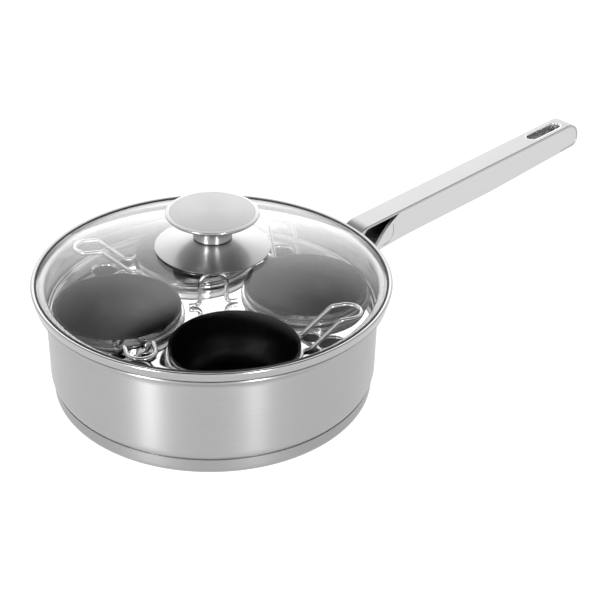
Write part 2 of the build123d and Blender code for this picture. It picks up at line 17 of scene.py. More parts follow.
import bmesh
import bpy
from mathutils import Matrix, Vector

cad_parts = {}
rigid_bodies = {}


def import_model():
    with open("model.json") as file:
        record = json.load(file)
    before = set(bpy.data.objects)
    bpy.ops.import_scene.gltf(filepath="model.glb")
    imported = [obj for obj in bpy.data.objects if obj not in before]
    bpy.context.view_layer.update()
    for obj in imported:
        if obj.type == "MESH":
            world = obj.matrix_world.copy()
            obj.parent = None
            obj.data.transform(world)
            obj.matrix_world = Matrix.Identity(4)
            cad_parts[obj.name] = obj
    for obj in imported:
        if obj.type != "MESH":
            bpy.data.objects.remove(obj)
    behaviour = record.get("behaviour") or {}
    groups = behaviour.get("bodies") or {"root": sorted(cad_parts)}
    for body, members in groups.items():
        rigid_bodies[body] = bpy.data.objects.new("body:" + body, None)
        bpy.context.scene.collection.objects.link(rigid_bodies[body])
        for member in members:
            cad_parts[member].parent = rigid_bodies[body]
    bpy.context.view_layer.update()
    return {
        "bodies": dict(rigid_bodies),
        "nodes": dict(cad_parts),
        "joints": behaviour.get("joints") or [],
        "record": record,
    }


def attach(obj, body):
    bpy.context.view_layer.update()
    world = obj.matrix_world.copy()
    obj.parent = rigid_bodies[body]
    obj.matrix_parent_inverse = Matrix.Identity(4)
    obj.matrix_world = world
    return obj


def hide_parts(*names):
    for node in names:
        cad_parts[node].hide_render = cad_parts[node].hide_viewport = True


LOG = logging.getLogger("saucepan")
MM = 0.001
ARC_STEP = math.radians(7)
SHARP_ANGLE = math.radians(34)
ROUND_SIDES = 256
WIRE_SIDES = 20
# Points nearer to each other than the first become one; thinner faces than the second go.
MERGE_MM = 0.002
SLIVER_MM = 0.001
# Two places no further apart than this are the same, or the same when rounded to these digits.
SAME_MM = 1e-3
SAME_DIGITS = 2
# A point nearer to the axis than this is on it. Millimetres.
AXIS_MM = 1e-5
# A corner that turns by less than this is left as it is. Radians.
STRAIGHT = 1e-4
# How much a large face outweighs its small neighbours in their shared shading, out of 100.
FACE_WEIGHT = 90
# How fast a polishing line changes along its run, as a share of across it.
LINE_RUN = 0.012
# How fast a sheet without lines changes, as a share of one line for each spacing.
WAVE_SHARE = 0.05
# Width of a patch of wear on polished steel.
WEAR_MM = 26.3


class Slot(Enum):
    """The record's material slots."""

    BODY = "steel_satin"
    BASE = "steel_base"
    HANDLE = "steel_handle"
    POLISHED = "steel_polished"
    KNOB_CAP = "steel_brushed_cap"
    MIRROR = "steel_mirror"
    CUP = "steel_cup"
    WIRE = "steel_wire"
    FIXING = "steel_fixings"
    CORE = "aluminium_core"
    GLASS = "glass_clear"
    RUBBER = "rubber_black"
    NONSTICK = "nonstick_black"


class Body(Enum):
    """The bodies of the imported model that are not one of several."""

    PAN = "pan"
    LID = "lid"
    INSERT = "insert"


class Grain(Enum):
    """Which way the polishing lines of a steel finish run."""

    ROUND = "round the upright axis"
    LONG = "along the handle"
    NONE = "no lines"


# Materials


def srgb(code: str) -> tuple[float, float, float, float]:
    """Turns an sRGB hex colour into linear values.

    Args:
        code: Six hex digits after a hash sign.

    Returns:
        Linear red, green, blue and an alpha of 1.
    """
    values = [int(code[place : place + 2], 16) / 255 for place in (1, 3, 5)]
    linear = [v / 12.92 if v <= 0.04045 else ((v + 0.055) / 1.055) ** 2.4 for v in values]
    return (linear[0], linear[1], linear[2], 1.0)


def add_node(
    tree: bpy.types.NodeTree,
    kind: str,
    settings: dict[str, object] | None = None,
    inputs: dict[str | int, object] | None = None,
) -> bpy.types.Node:
    """Adds a node with its settings, constants and links.

    Args:
        tree: The node tree that gets the node.
        kind: Blender's type name of the node.
        settings: Properties of the node by name.
        inputs: For each input, by name or place, a constant or the output that feeds it.

    Returns:
        The new node.
    """
    node = tree.nodes.new(kind)
    for name, value in (settings or {}).items():
        setattr(node, name, value)
    for key, value in (inputs or {}).items():
        if isinstance(value, bpy.types.NodeSocket):
            tree.links.new(value, node.inputs[key])
        else:
            node.inputs[key].default_value = value
    return node


@dataclass(frozen=True)
class Finish:
    """A finish, by its name in a maker's words."""

    name: str

    def surface(self, tree: bpy.types.NodeTree) -> bpy.types.NodeSocket:
        """Adds the finish's own nodes.

        Args:
            tree: The material's empty tree.

        Returns:
            The socket that gives the surface.
        """
        raise NotImplementedError

    def build(self) -> bpy.types.Material:
        """Makes the material.

        Returns:
            The material.
        """
        material = bpy.data.materials.new(self.name)
        material.use_nodes = True
        tree = material.node_tree
        tree.nodes.clear()
        add_node(tree, "ShaderNodeOutputMaterial", inputs={"Surface": self.surface(tree)})
        return material


@dataclass(frozen=True)
class Steel(Finish):
    """Stainless steel with a polished, satin or brushed surface."""

    colour: str
    roughness: float
    grain: Grain = Grain.NONE
    anisotropy: float = 0.0
    line_mm: float = 1.0
    tone_swing: float = 0.03
    rough_swing: float = 0.03
    bump_mm: float = 0.0

    def pattern_place(self, tree: bpy.types.NodeTree) -> bpy.types.NodeSocket:
        """Coordinates in which the polishing lines are one unit apart.

        Args:
            tree: The material's tree.

        Returns:
            The socket that carries the coordinates.
        """
        place = add_node(tree, "ShaderNodeTexCoord").outputs["Object"]
        across = 1 / (self.line_mm * MM)
        along = across * LINE_RUN
        if self.grain is not Grain.ROUND:
            wave = across * WAVE_SHARE
            scale = (along, across, across) if self.grain is Grain.LONG else (wave, wave, wave)
            return add_node(
                tree, "ShaderNodeVectorMath", {"operation": "MULTIPLY"}, {0: place, 1: scale}
            ).outputs[0]
        level = add_node(
            tree, "ShaderNodeVectorMath", {"operation": "MULTIPLY"}, {0: place, 1: (1, 1, 0)}
        )
        reach = add_node(
            tree, "ShaderNodeVectorMath", {"operation": "LENGTH"}, {0: level.outputs[0]}
        )
        parts = add_node(tree, "ShaderNodeSeparateXYZ", inputs={0: place})
        scales = {
            "X": (reach.outputs["Value"], across),
            "Y": (parts.outputs["Z"], across),
            "Z": (parts.outputs["X"], along),
        }
        scaled: dict[str | int, object] = {
            axis: add_node(
                tree, "ShaderNodeMath", {"operation": "MULTIPLY"}, {0: source, 1: scale}
            ).outputs[0]
            for axis, (source, scale) in scales.items()
        }
        return add_node(tree, "ShaderNodeCombineXYZ", inputs=scaled).outputs[0]

    def surface(self, tree: bpy.types.NodeTree) -> bpy.types.NodeSocket:
        """Adds the metal, with polishing lines in tone and bump and patches of wear in gloss.

        Args:
            tree: The material's empty tree.

        Returns:
            The socket that gives the surface.
        """
        lines = add_node(
            tree,
            "ShaderNodeTexNoise",
            inputs={
                "Vector": self.pattern_place(tree),
                "Scale": 1.0,
                "Detail": 2.0,
                "Roughness": 0.6,
            },
        ).outputs["Fac"]
        place = add_node(tree, "ShaderNodeTexCoord").outputs["Object"]
        patches = add_node(
            tree,
            "ShaderNodeTexNoise",
            inputs={"Vector": place, "Scale": 1 / (WEAR_MM * MM), "Detail": 3.0},
        ).outputs["Fac"]
        base = srgb(self.colour)
        dark, light = (
            tuple(min(1.0, channel * (1 + swing)) for channel in base[:3]) + (1.0,)
            for swing in (-self.tone_swing, self.tone_swing)
        )
        tone = add_node(
            tree, "ShaderNodeMix", {"data_type": "RGBA"}, {0: lines, 6: dark, 7: light}
        )
        wear = add_node(
            tree,
            "ShaderNodeMapRange",
            inputs={
                "Value": patches,
                "To Min": max(0.0, self.roughness - self.rough_swing),
                "To Max": self.roughness + self.rough_swing,
            },
        )
        metal: dict[str | int, object] = {
            "Base Color": tone.outputs[2],
            "Metallic": 1.0,
            "Roughness": wear.outputs["Result"],
        }
        if self.anisotropy:
            tangent = add_node(
                tree, "ShaderNodeTangent", {"direction_type": "RADIAL", "axis": "Z"}
            )
            metal["Tangent"] = tangent.outputs[0]
            metal["Anisotropic"] = self.anisotropy
            # A quarter turn: the highlight stretches across the polishing lines.
            metal["Anisotropic Rotation"] = 0.25
        if self.bump_mm:
            metal["Normal"] = add_node(
                tree,
                "ShaderNodeBump",
                inputs={"Height": lines, "Distance": self.bump_mm * MM, "Strength": 1.0},
            ).outputs[0]
        return add_node(tree, "ShaderNodeBsdfPrincipled", inputs=metal).outputs[0]


@dataclass(frozen=True)
class TemperedGlass(Finish):
    """Clear toughened soda-lime glass, faintly wavy from its pressing."""

    tint: str
    ior: float = 1.5
    wave_mm: float = 45.5
    bump_mm: float = 0.02

    def surface(self, tree: bpy.types.NodeTree) -> bpy.types.NodeSocket:
        """Adds the glass. Light reaches what is under it through a clear way for shadow rays.

        Args:
            tree: The material's empty tree.

        Returns:
            The socket that gives the surface.
        """
        place = add_node(tree, "ShaderNodeTexCoord").outputs["Object"]
        waves = add_node(
            tree,
            "ShaderNodeTexNoise",
            inputs={"Vector": place, "Scale": 1 / (self.wave_mm * MM), "Detail": 1.0},
        )
        bump = add_node(
            tree,
            "ShaderNodeBump",
            inputs={
                "Height": waves.outputs["Fac"],
                "Distance": self.bump_mm * MM,
                "Strength": 1.0,
            },
        )
        shader = add_node(
            tree,
            "ShaderNodeBsdfPrincipled",
            inputs={
                "Base Color": srgb(self.tint),
                "Roughness": 0.0,
                "IOR": self.ior,
                "Transmission Weight": 1.0,
                "Normal": bump.outputs[0],
            },
        )
        clear = add_node(tree, "ShaderNodeBsdfTransparent")
        rays = add_node(tree, "ShaderNodeLightPath")
        either = add_node(
            tree,
            "ShaderNodeMath",
            {"operation": "MAXIMUM"},
            {0: rays.outputs["Is Shadow Ray"], 1: rays.outputs["Is Diffuse Ray"]},
        )
        return add_node(
            tree,
            "ShaderNodeMixShader",
            inputs={0: either.outputs[0], 1: shader.outputs[0], 2: clear.outputs[0]},
        ).outputs[0]


@dataclass(frozen=True)
class MattBlack(Finish):
    """A black coating or moulding with a fine grain."""

    colour: str
    fleck: str
    roughness: float
    grain_mm: float
    bump_mm: float
    ior: float = 1.5

    def surface(self, tree: bpy.types.NodeTree) -> bpy.types.NodeSocket:
        """Adds the black, with its grain in tone and bump.

        Args:
            tree: The material's empty tree.

        Returns:
            The socket that gives the surface.
        """
        place = add_node(tree, "ShaderNodeTexCoord").outputs["Object"]
        grit = add_node(
            tree,
            "ShaderNodeTexNoise",
            inputs={"Vector": place, "Scale": 1 / (self.grain_mm * MM), "Detail": 2.0},
        ).outputs["Fac"]
        tone = add_node(
            tree,
            "ShaderNodeMix",
            {"data_type": "RGBA"},
            {0: grit, 6: srgb(self.colour), 7: srgb(self.fleck)},
        )
        bump = add_node(
            tree,
            "ShaderNodeBump",
            inputs={"Height": grit, "Distance": self.bump_mm * MM, "Strength": 1.0},
        )
        return add_node(
            tree,
            "ShaderNodeBsdfPrincipled",
            inputs={
                "Base Color": tone.outputs[2],
                "Roughness": self.roughness,
                "IOR": self.ior,
                "Normal": bump.outputs[0],
            },
        ).outputs[0]


@dataclass(frozen=True)
class PaleFloor(Finish):
    """A matt floor that is white to the camera and in reflections and keeps soft shadows."""

    colour: str
    glow: float

    def surface(self, tree: bpy.types.NodeTree) -> bpy.types.NodeSocket:
        """Adds the floor's paint and the light it gives to rays that only look at it.

        Args:
            tree: The material's empty tree.

        Returns:
            The socket that gives the surface.
        """
        rays = add_node(tree, "ShaderNodeLightPath")
        seen = rays.outputs["Is Camera Ray"]
        for ray in ("Is Glossy Ray", "Is Transmission Ray"):
            seen = add_node(
                tree, "ShaderNodeMath", {"operation": "MAXIMUM"}, {0: seen, 1: rays.outputs[ray]}
            ).outputs[0]
        strength = add_node(
            tree, "ShaderNodeMath", {"operation": "MULTIPLY"}, {0: seen, 1: self.glow}
        )
        paint = add_node(tree, "ShaderNodeBsdfDiffuse", inputs={"Color": srgb(self.colour)})
        light = add_node(
            tree,
            "ShaderNodeEmission",
            inputs={"Color": (1, 1, 1, 1), "Strength": strength.outputs[0]},
        )
        return add_node(
            tree, "ShaderNodeAddShader", inputs={0: paint.outputs[0], 1: light.outputs[0]}
        ).outputs[0]


# The numbers of a steel finish are roughness, anisotropy, line spacing in millimetres, swing of
# tone, swing of roughness and bump in millimetres. Those of a black one are roughness, grain and
# bump in millimetres, and IOR.
FINISHES: dict[Slot, Finish] = {
    # Satin-polished 18/10 stainless: the belt leaves lines round the wall, so a light shows as an
    # upright band. Real lines are about 0.1 mm; they are drawn at 0.9 mm so that they show.
    Slot.BODY: Steel("satin_stainless", "#a7a7a7", 0.33, Grain.ROUND, 0.85, 0.9, 0.06, 0.03, 0.006),
    # The capsule base is spun and left a little duller than the wall.
    Slot.BASE: Steel(
        "spun_base_stainless", "#9a9a9a", 0.38, Grain.ROUND, 0.7, 0.9, 0.05, 0.03, 0.005
    ),
    # The handle is polished along its length to a soft, even sheen.
    Slot.HANDLE: Steel(
        "polished_handle_stainless", "#c9c9c9", 0.26, Grain.LONG, 0.0, 0.8, 0.02, 0.03, 0.002
    ),
    # Lid band: bright polish that mirrors the room softly.
    Slot.POLISHED: Steel(
        "bright_stainless", "#ababab", 0.2, Grain.ROUND, 0.3, 0.8, 0.02, 0.03, 0.001
    ),
    # Knob disc: fine circular brushing, lines drawn at 0.5 mm so that they show.
    Slot.KNOB_CAP: Steel(
        "brushed_cap_stainless", "#989898", 0.36, Grain.ROUND, 0.3, 0.5, 0.05, 0.03, 0.005
    ),
    # Insert plate: mirror polish with the faint waviness of a pressed sheet.
    Slot.MIRROR: Steel("mirror_stainless", "#e4e4e3", 0.06, Grain.NONE, 0.0, 1.2, 0.01, 0.02, 0.0),
    # Cup outsides: pressed and tumbled, a bright but not perfect mirror.
    Slot.CUP: Steel("cup_stainless", "#d6d6d6", 0.14, Grain.NONE, 0.0, 1.2, 0.02, 0.03, 0.0),
    # Drawn wire: bright, with faint draw marks.
    Slot.WIRE: Steel("wire_stainless", "#e0e0e0", 0.15, Grain.NONE, 0.0, 0.8, 0.02, 0.02, 0.0),
    # Turned fixings under the glass.
    Slot.FIXING: Steel(
        "turned_stainless", "#cfcfcf", 0.22, Grain.ROUND, 0.4, 0.5, 0.03, 0.03, 0.003
    ),
    # Cast aluminium disc inside the base, grey and matt.
    Slot.CORE: Steel("aluminium", "#b4b6b8", 0.45, Grain.ROUND, 0.0, 1.2, 0.05, 0.05, 0.006),
    # Glass bent in a press and toughened: clear, with hardly any tint.
    Slot.GLASS: TemperedGlass("tempered_glass", "#f9f9f9", 1.5),
    # Silicone rubber: matt, with a faint moulded grain.
    Slot.RUBBER: MattBlack("silicone_rubber", "#0a0a0b", "#101012", 0.5, 0.6, 0.01),
    # Non-stick coating: a fluoropolymer of low index, so near-black with hardly any sheen.
    Slot.NONSTICK: MattBlack("nonstick_coating", "#020202", "#040404", 0.42, 0.7, 0.0015, 1.25),
}

# The strip's upper face is satin, and its colour is painted darker than the rest of the handle's
# steel: painted shade, so that it stays a shade darker than the white room above it.
SHADED_STRIP_FINISH = Steel(
    "satin_strip_painted_shade_stainless", "#adadad", 0.32, Grain.LONG, 0.0, 0.8, 0.035, 0.03, 0.004
)
# The slot's liner is bright, so light bounces down it to the floor.
LINER_FINISH = Steel(
    "bright_liner_stainless", "#e2e2e2", 0.2, Grain.NONE, 0.0, 1.2, 0.02, 0.03, 0.0
)
# Neck and skirt of the knob are brushed round the axis, so lights spread up and down them.
KNOB_FINISH = Steel(
    "brushed_knob_stainless", "#acacac", 0.3, Grain.ROUND, 0.75, 0.5, 0.04, 0.03, 0.004
)
# The studio's floor, which isn't part of the object.
FLOOR_FINISH = PaleFloor("pale_floor", "#8a8a8a", 0.92)


# Flat outlines and meshes


def flat(points: Sequence[Sequence[float]]) -> list[Vector]:
    """The points as three-part vectors; a flat point gets a last part of zero."""
    return [Vector((*point, 0.0)) if len(point) == 2 else Vector(point) for point in points]


def swing(centre: Vector, start: Vector, end: Vector) -> list[Vector]:
    """Points along the shorter arc about a centre.

    Args:
        centre: Middle of the arc.
        start: First point of the arc.
        end: Last point of the arc.

    Returns:
        The arc's points, both ends included.
    """
    first = start - centre
    last = end - centre
    angle = first.angle(last)
    axis = first.cross(last).normalized()
    steps = max(2, math.ceil(angle / ARC_STEP))
    return [centre + Matrix.Rotation(angle * k / steps, 3, axis) @ first for k in range(steps + 1)]


def arc(centre: Sequence[float], radius: float, start: float, end: float) -> list[Vector]:
    """Points along an arc in the flat plane.

    Args:
        centre: Middle of the arc.
        radius: Its radius.
        start: Its first angle in degrees.
        end: Its last angle in degrees.

    Returns:
        The arc's points, both ends included.
    """
    middle = flat([centre])[0]
    steps = max(2, math.ceil(abs(math.radians(end - start)) / ARC_STEP))
    angles = [math.radians(start + (end - start) * k / steps) for k in range(steps + 1)]
    return [middle + Vector((math.cos(a), math.sin(a), 0)) * radius for a in angles]


def rounded(points: Sequence[Sequence[float]], radii: Sequence[float]) -> list[Vector]:
    """An open path with each inner corner rounded.

    Args:
        points: The corners, flat or in space.
        radii: One radius for each inner corner; zero leaves the corner sharp.

    Returns:
        The path's points.
    """
    corners = flat(points)
    path = [corners[0]]
    for before, corner, after, radius in zip(corners, corners[1:], corners[2:], radii):
        back = (before - corner).normalized()
        ahead = (after - corner).normalized()
        half = back.angle(ahead) / 2
        if radius <= 0 or half > math.pi / 2 - STRAIGHT:
            path.append(corner)
            continue
        reach = radius / math.tan(half)
        centre = corner + (back + ahead).normalized() * (radius / math.sin(half))
        path += swing(centre, corner + back * reach, corner + ahead * reach)
    path.append(corners[-1])
    return path


def through_arc(
    start: Sequence[float], middle: Sequence[float], end: Sequence[float]
) -> list[Vector]:
    """Points along the flat arc through three points.

    Args:
        start: Where the arc starts.
        middle: A point on it.
        end: Where it ends.

    Returns:
        The arc's points, both ends included.
    """
    a, b, c = flat([start, middle, end])
    turn = 2 * (a.x * (b.y - c.y) + b.x * (c.y - a.y) + c.x * (a.y - b.y))
    squares = [p.length_squared for p in (a, b, c)]
    x = (squares[0] * (b.y - c.y) + squares[1] * (c.y - a.y) + squares[2] * (a.y - b.y)) / turn
    y = (squares[0] * (c.x - b.x) + squares[1] * (a.x - c.x) + squares[2] * (b.x - a.x)) / turn
    centre = Vector((x, y, 0))
    return swing(centre, a, b)[:-1] + swing(centre, b, c)


def beside(path: Sequence[Vector], distance: float) -> list[Vector]:
    """A flat path moved sideways.

    Args:
        path: The flat path.
        distance: How far to its left; a negative distance is to its right.

    Returns:
        The moved path, with as many points.
    """
    moved = []
    last = len(path) - 1
    for place, point in enumerate(path):
        ahead = (path[place + 1] - point) if place < last else (point - path[place - 1])
        back = (point - path[place - 1]) if place else ahead
        side_ahead = Vector((-ahead.y, ahead.x, 0)).normalized()
        side_back = Vector((-back.y, back.x, 0)).normalized()
        middle = (side_ahead + side_back).normalized()
        moved.append(point + middle * (distance / middle.dot(side_ahead)))
    return moved


def sheet_outline(path: Sequence[Vector], thickness: float) -> list[Vector]:
    """The closed outline of a sheet whose one face is the path and whose other is to its left."""
    return [*path, *reversed(beside(path, thickness))]


def new_object(name: str, data: bpy.types.ID) -> bpy.types.Object:
    """Puts a mesh, lamp or camera in the scene as an object at the origin.

    Args:
        name: Name of the new object.
        data: Its mesh, lamp or camera.

    Returns:
        The object.
    """
    item = bpy.data.objects.new(name, data)
    bpy.context.scene.collection.objects.link(item)
    return item


def close_and_smooth(mesh: bpy.types.Mesh) -> None:
    """Merges double points, points the faces outwards and shades all but sharp edges smooth.

    Args:
        mesh: The mesh, changed in place.
    """
    work = bmesh.new()
    work.from_mesh(mesh)
    bmesh.ops.remove_doubles(work, verts=work.verts, dist=MERGE_MM * MM)
    bmesh.ops.dissolve_degenerate(work, edges=work.edges, dist=SLIVER_MM * MM)
    bmesh.ops.recalc_face_normals(work, faces=work.faces)
    work.to_mesh(mesh)
    work.free()
    mesh.shade_smooth()
    mesh.set_sharp_from_angle(angle=SHARP_ANGLE)


def solid(
    name: str, points: Sequence[Sequence[float]], faces: Sequence[Sequence[int]]
) -> bpy.types.Object:
    """A closed piece from its corners and faces.

    Args:
        name: Name of the new object.
        points: The corners in millimetres.
        faces: The corners of each face, by place.

    Returns:
        The piece, with smooth shading between its sharp edges.
    """
    mesh = bpy.data.meshes.new(name)
    mesh.from_pydata([(x * MM, y * MM, z * MM) for x, y, z in points], [], faces)
    close_and_smooth(mesh)
    return new_object(name, mesh)


def turned(name: str, outline: Sequence[Vector], sides: int = ROUND_SIDES) -> bpy.types.Object:
    """A piece turned about the upright axis.

    Args:
        name: Name of the new object.
        outline: Closed half section in millimetres, radius across and height up.
        sides: How many flats make the round.

    Returns:
        The piece.
    """
    angles = [math.tau * k / sides for k in range(sides)]
    points: list[tuple[float, float, float]] = []
    rings: list[list[int]] = []
    for corner in outline:
        first = len(points)
        if corner.x < AXIS_MM:
            points.append((0.0, 0.0, corner.y))
            rings.append([first] * sides)
            continue
        points += [(corner.x * math.cos(a), corner.x * math.sin(a), corner.y) for a in angles]
        rings.append(list(range(first, first + sides)))
    faces = []
    for ring, following in zip(rings, rings[1:] + rings[:1]):
        if ring[0] == ring[1] and following[0] == following[1]:
            continue
        for k in range(sides):
            n = (k + 1) % sides
            corners = [ring[k], ring[n], following[n], following[k]]
            faces.append(list(dict.fromkeys(corners)))
    return solid(name, points, faces)


def disc(
    name: str, radius: float, low_z: float, top_z: float, sides: int = ROUND_SIDES
) -> bpy.types.Object:
    """A plain round piece about the upright axis.

    Args:
        name: Name of the new object.
        radius: Its radius in millimetres.
        low_z: Height of its lower face in millimetres.
        top_z: Height of its upper face in millimetres.
        sides: How many flats make the round.

    Returns:
        The piece.
    """
    outline = flat([(0, low_z), (radius, low_z), (radius, top_z), (0, top_z)])
    return turned(name, outline, sides)


def loft(
    name: str, rings: Sequence[Sequence[Sequence[float]]], capped: bool = True
) -> bpy.types.Object:
    """A piece whose skin runs through equal rings of points.

    Args:
        name: Name of the new object.
        rings: The rings in millimetres, each with as many points.
        capped: Whether faces close the first and last ring, or the skin runs back to the first.

    Returns:
        The piece.
    """
    points = [point for ring in rings for point in ring]
    count = len(rings[0])
    starts = [count * place for place in range(len(rings))]
    faces = []
    if capped:
        faces = [list(range(count)), list(range(len(points) - 1, starts[-1] - 1, -1))]
    for first, after in zip(starts, starts[1:] if capped else starts[1:] + starts[:1]):
        for k in range(count):
            n = (k + 1) % count
            faces.append([first + k, first + n, after + n, after + k])
    return solid(name, points, faces)


def prism(name: str, outline: Sequence[Vector], near: float, far: float) -> bpy.types.Object:
    """A side outline (length across, height up) made wide across the handle.

    Args:
        name: Name of the new object.
        outline: Closed outline in millimetres.
        near: Its first side along Y, in millimetres.
        far: Its other side along Y, in millimetres.

    Returns:
        The piece.
    """
    return loft(name, [[(p.x, y, p.y) for p in outline] for y in (near, far)])


def bake(piece: bpy.types.Object) -> None:
    """Turns what a piece's modifiers make of it into its plain mesh.

    Args:
        piece: The piece, which has no modifiers afterwards.
    """
    graph = bpy.context.evaluated_depsgraph_get()
    mesh = bpy.data.meshes.new_from_object(piece.evaluated_get(graph))
    old = piece.data
    piece.modifiers.clear()
    piece.data = mesh
    mesh.name = piece.name
    bpy.data.meshes.remove(old)


def cut(piece: bpy.types.Object, *tools: bpy.types.Object) -> None:
    """Cuts tools out of a piece and removes the tools.

    Args:
        piece: The piece.
        tools: Solids that take their shape out of it.
    """
    for tool in tools:
        modifier = piece.modifiers.new("cut", "BOOLEAN")
        modifier.operation = "DIFFERENCE"
        modifier.solver = "EXACT"
        modifier.object = tool
    bake(piece)
    for tool in tools:
        bpy.data.objects.remove(tool)


def even_shading(piece: bpy.types.Object) -> None:
    """Shades a piece smooth with its large faces kept flat up to their rounded edges.

    Args:
        piece: The piece.
    """
    piece.data.shade_smooth()
    piece.data.set_sharp_from_angle(angle=SHARP_ANGLE)
    modifier = piece.modifiers.new("even", "WEIGHTED_NORMAL")
    modifier.mode = "FACE_AREA"
    modifier.weight = FACE_WEIGHT
    modifier.keep_sharp = True
    bake(piece)


# Geometry Nodes


class NodeTool:
    """A Geometry Nodes tree with named inputs, whose result is kept as a plain mesh."""

    def __init__(self, name: str, source: str, result: str, sockets: dict[str, str]) -> None:
        """Starts the tree with one geometry in and one out.

        Args:
            name: Name of the tree.
            source: Name of its geometry input.
            result: Name of its geometry output.
            sockets: The socket types of its other inputs, by name.
        """
        self.tree = bpy.data.node_groups.new(name, "GeometryNodeTree")
        interface = self.tree.interface
        interface.new_socket(source, in_out="INPUT", socket_type="NodeSocketGeometry")
        interface.new_socket(result, in_out="OUTPUT", socket_type="NodeSocketGeometry")
        self.inputs = {
            key: interface.new_socket(key, in_out="INPUT", socket_type=kind).identifier
            for key, kind in sockets.items()
        }
        self.given = add_node(self.tree, "NodeGroupInput").outputs

    def end(self, shape: bpy.types.NodeSocket) -> None:
        """Ends the tree: real geometry, shaded smooth, with its material.

        Args:
            shape: The socket that carries the tree's geometry.
        """
        smooth = add_node(self.tree, "GeometryNodeSetShadeSmooth", inputs={0: shape})
        real = add_node(
            self.tree, "GeometryNodeRealizeInstances", inputs={0: smooth.outputs[0]}
        )
        paint = add_node(
            self.tree,
            "GeometryNodeSetMaterial",
            inputs={0: real.outputs[0], "Material": self.given["Finish"]},
        )
        add_node(self.tree, "NodeGroupOutput", inputs={0: paint.outputs[0]})

    def use(self, piece: bpy.types.Object, values: dict[str, object]) -> None:
        """Puts a piece through the tree and keeps the result as its plain mesh.

        Args:
            piece: The piece.
            values: A value for each of the tree's named inputs.
        """
        modifier = piece.modifiers.new("nodes", "NODES")
        modifier.node_group = self.tree
        for key, value in values.items():
            modifier[self.inputs[key]] = value
        bake(piece)
        close_and_smooth(piece.data)


class WireTree(NodeTool):
    """Lays a round wire along a path of edges."""

    def __init__(self) -> None:
        """Builds the tree with its named inputs."""
        sockets = {
            "Wire radius": "NodeSocketFloat",
            "Sides": "NodeSocketInt",
            "Finish": "NodeSocketMaterial",
        }
        super().__init__("wire_along_path", "Path", "Wire", sockets)
        path = add_node(self.tree, "GeometryNodeMeshToCurve", inputs={0: self.given["Path"]})
        circle = add_node(
            self.tree,
            "GeometryNodeCurvePrimitiveCircle",
            inputs={"Resolution": self.given["Sides"], "Radius": self.given["Wire radius"]},
        )
        wire = add_node(
            self.tree,
            "GeometryNodeCurveToMesh",
            inputs={
                "Curve": path.outputs[0],
                "Profile Curve": circle.outputs[0],
                "Fill Caps": True,
            },
        )
        self.end(wire.outputs[0])

    def lay(
        self,
        name: str,
        path: Sequence[Vector],
        closed: bool,
        radius: float,
        finish: bpy.types.Material,
    ) -> bpy.types.Object:
        """Makes a wire.

        Args:
            name: Name of the new object.
            path: Its centre line in millimetres.
            closed: Whether the path ends where it starts.
            radius: Radius of the wire in millimetres.
            finish: Its material.

        Returns:
            The wire as a plain mesh.
        """
        edges = [(k, k + 1) for k in range(len(path) - 1)]
        if closed:
            edges.append((len(path) - 1, 0))
        line = bpy.data.meshes.new(name)
        line.from_pydata([point * MM for point in path], edges, [])
        piece = new_object(name, line)
        self.use(piece, {"Wire radius": radius * MM, "Sides": WIRE_SIDES, "Finish": finish})
        return piece


class RingTree(NodeTool):
    """Sets copies of one piece at equal steps round the upright axis."""

    def __init__(self) -> None:
        """Builds the tree with its named inputs."""
        sockets = {
            "Count": "NodeSocketInt",
            "Reach": "NodeSocketFloat",
            "First angle": "NodeSocketFloat",
            "Finish": "NodeSocketMaterial",
        }
        super().__init__("copies_round_axis", "Piece", "Copies", sockets)
        ring = add_node(
            self.tree,
            "GeometryNodeMeshCircle",
            inputs={"Vertices": self.given["Count"], "Radius": self.given["Reach"]},
        )
        step = add_node(
            self.tree,
            "ShaderNodeMath",
            {"operation": "DIVIDE"},
            {0: math.tau, 1: self.given["Count"]},
        )
        index = add_node(self.tree, "GeometryNodeInputIndex")
        angle = add_node(
            self.tree,
            "ShaderNodeMath",
            {"operation": "MULTIPLY"},
            {0: index.outputs[0], 1: step.outputs[0]},
        )
        own_turn = add_node(self.tree, "ShaderNodeCombineXYZ", inputs={"Z": angle.outputs[0]})
        copies = add_node(
            self.tree,
            "GeometryNodeInstanceOnPoints",
            inputs={
                "Points": ring.outputs[0],
                "Instance": self.given["Piece"],
                "Rotation": own_turn.outputs[0],
            },
        )
        all_turn = add_node(
            self.tree, "ShaderNodeCombineXYZ", inputs={"Z": self.given["First angle"]}
        )
        placed = add_node(
            self.tree,
            "GeometryNodeTransform",
            inputs={"Geometry": copies.outputs[0], "Rotation": all_turn.outputs[0]},
        )
        self.end(placed.outputs[0])

    def spread(
        self,
        piece: bpy.types.Object,
        count: int,
        reach: float,
        first: float,
        finish: bpy.types.Material,
    ) -> None:
        """Turns a piece made on the axis into copies round it.

        Args:
            piece: The piece, made about the axis.
            count: How many copies.
            reach: How far out each goes, in millimetres.
            first: Angle of the first copy in degrees.
            finish: Their material.
        """
        values: dict[str, object] = {
            "Count": count,
            "Reach": reach * MM,
            "First angle": math.radians(first),
            "Finish": finish,
        }
        self.use(piece, values)


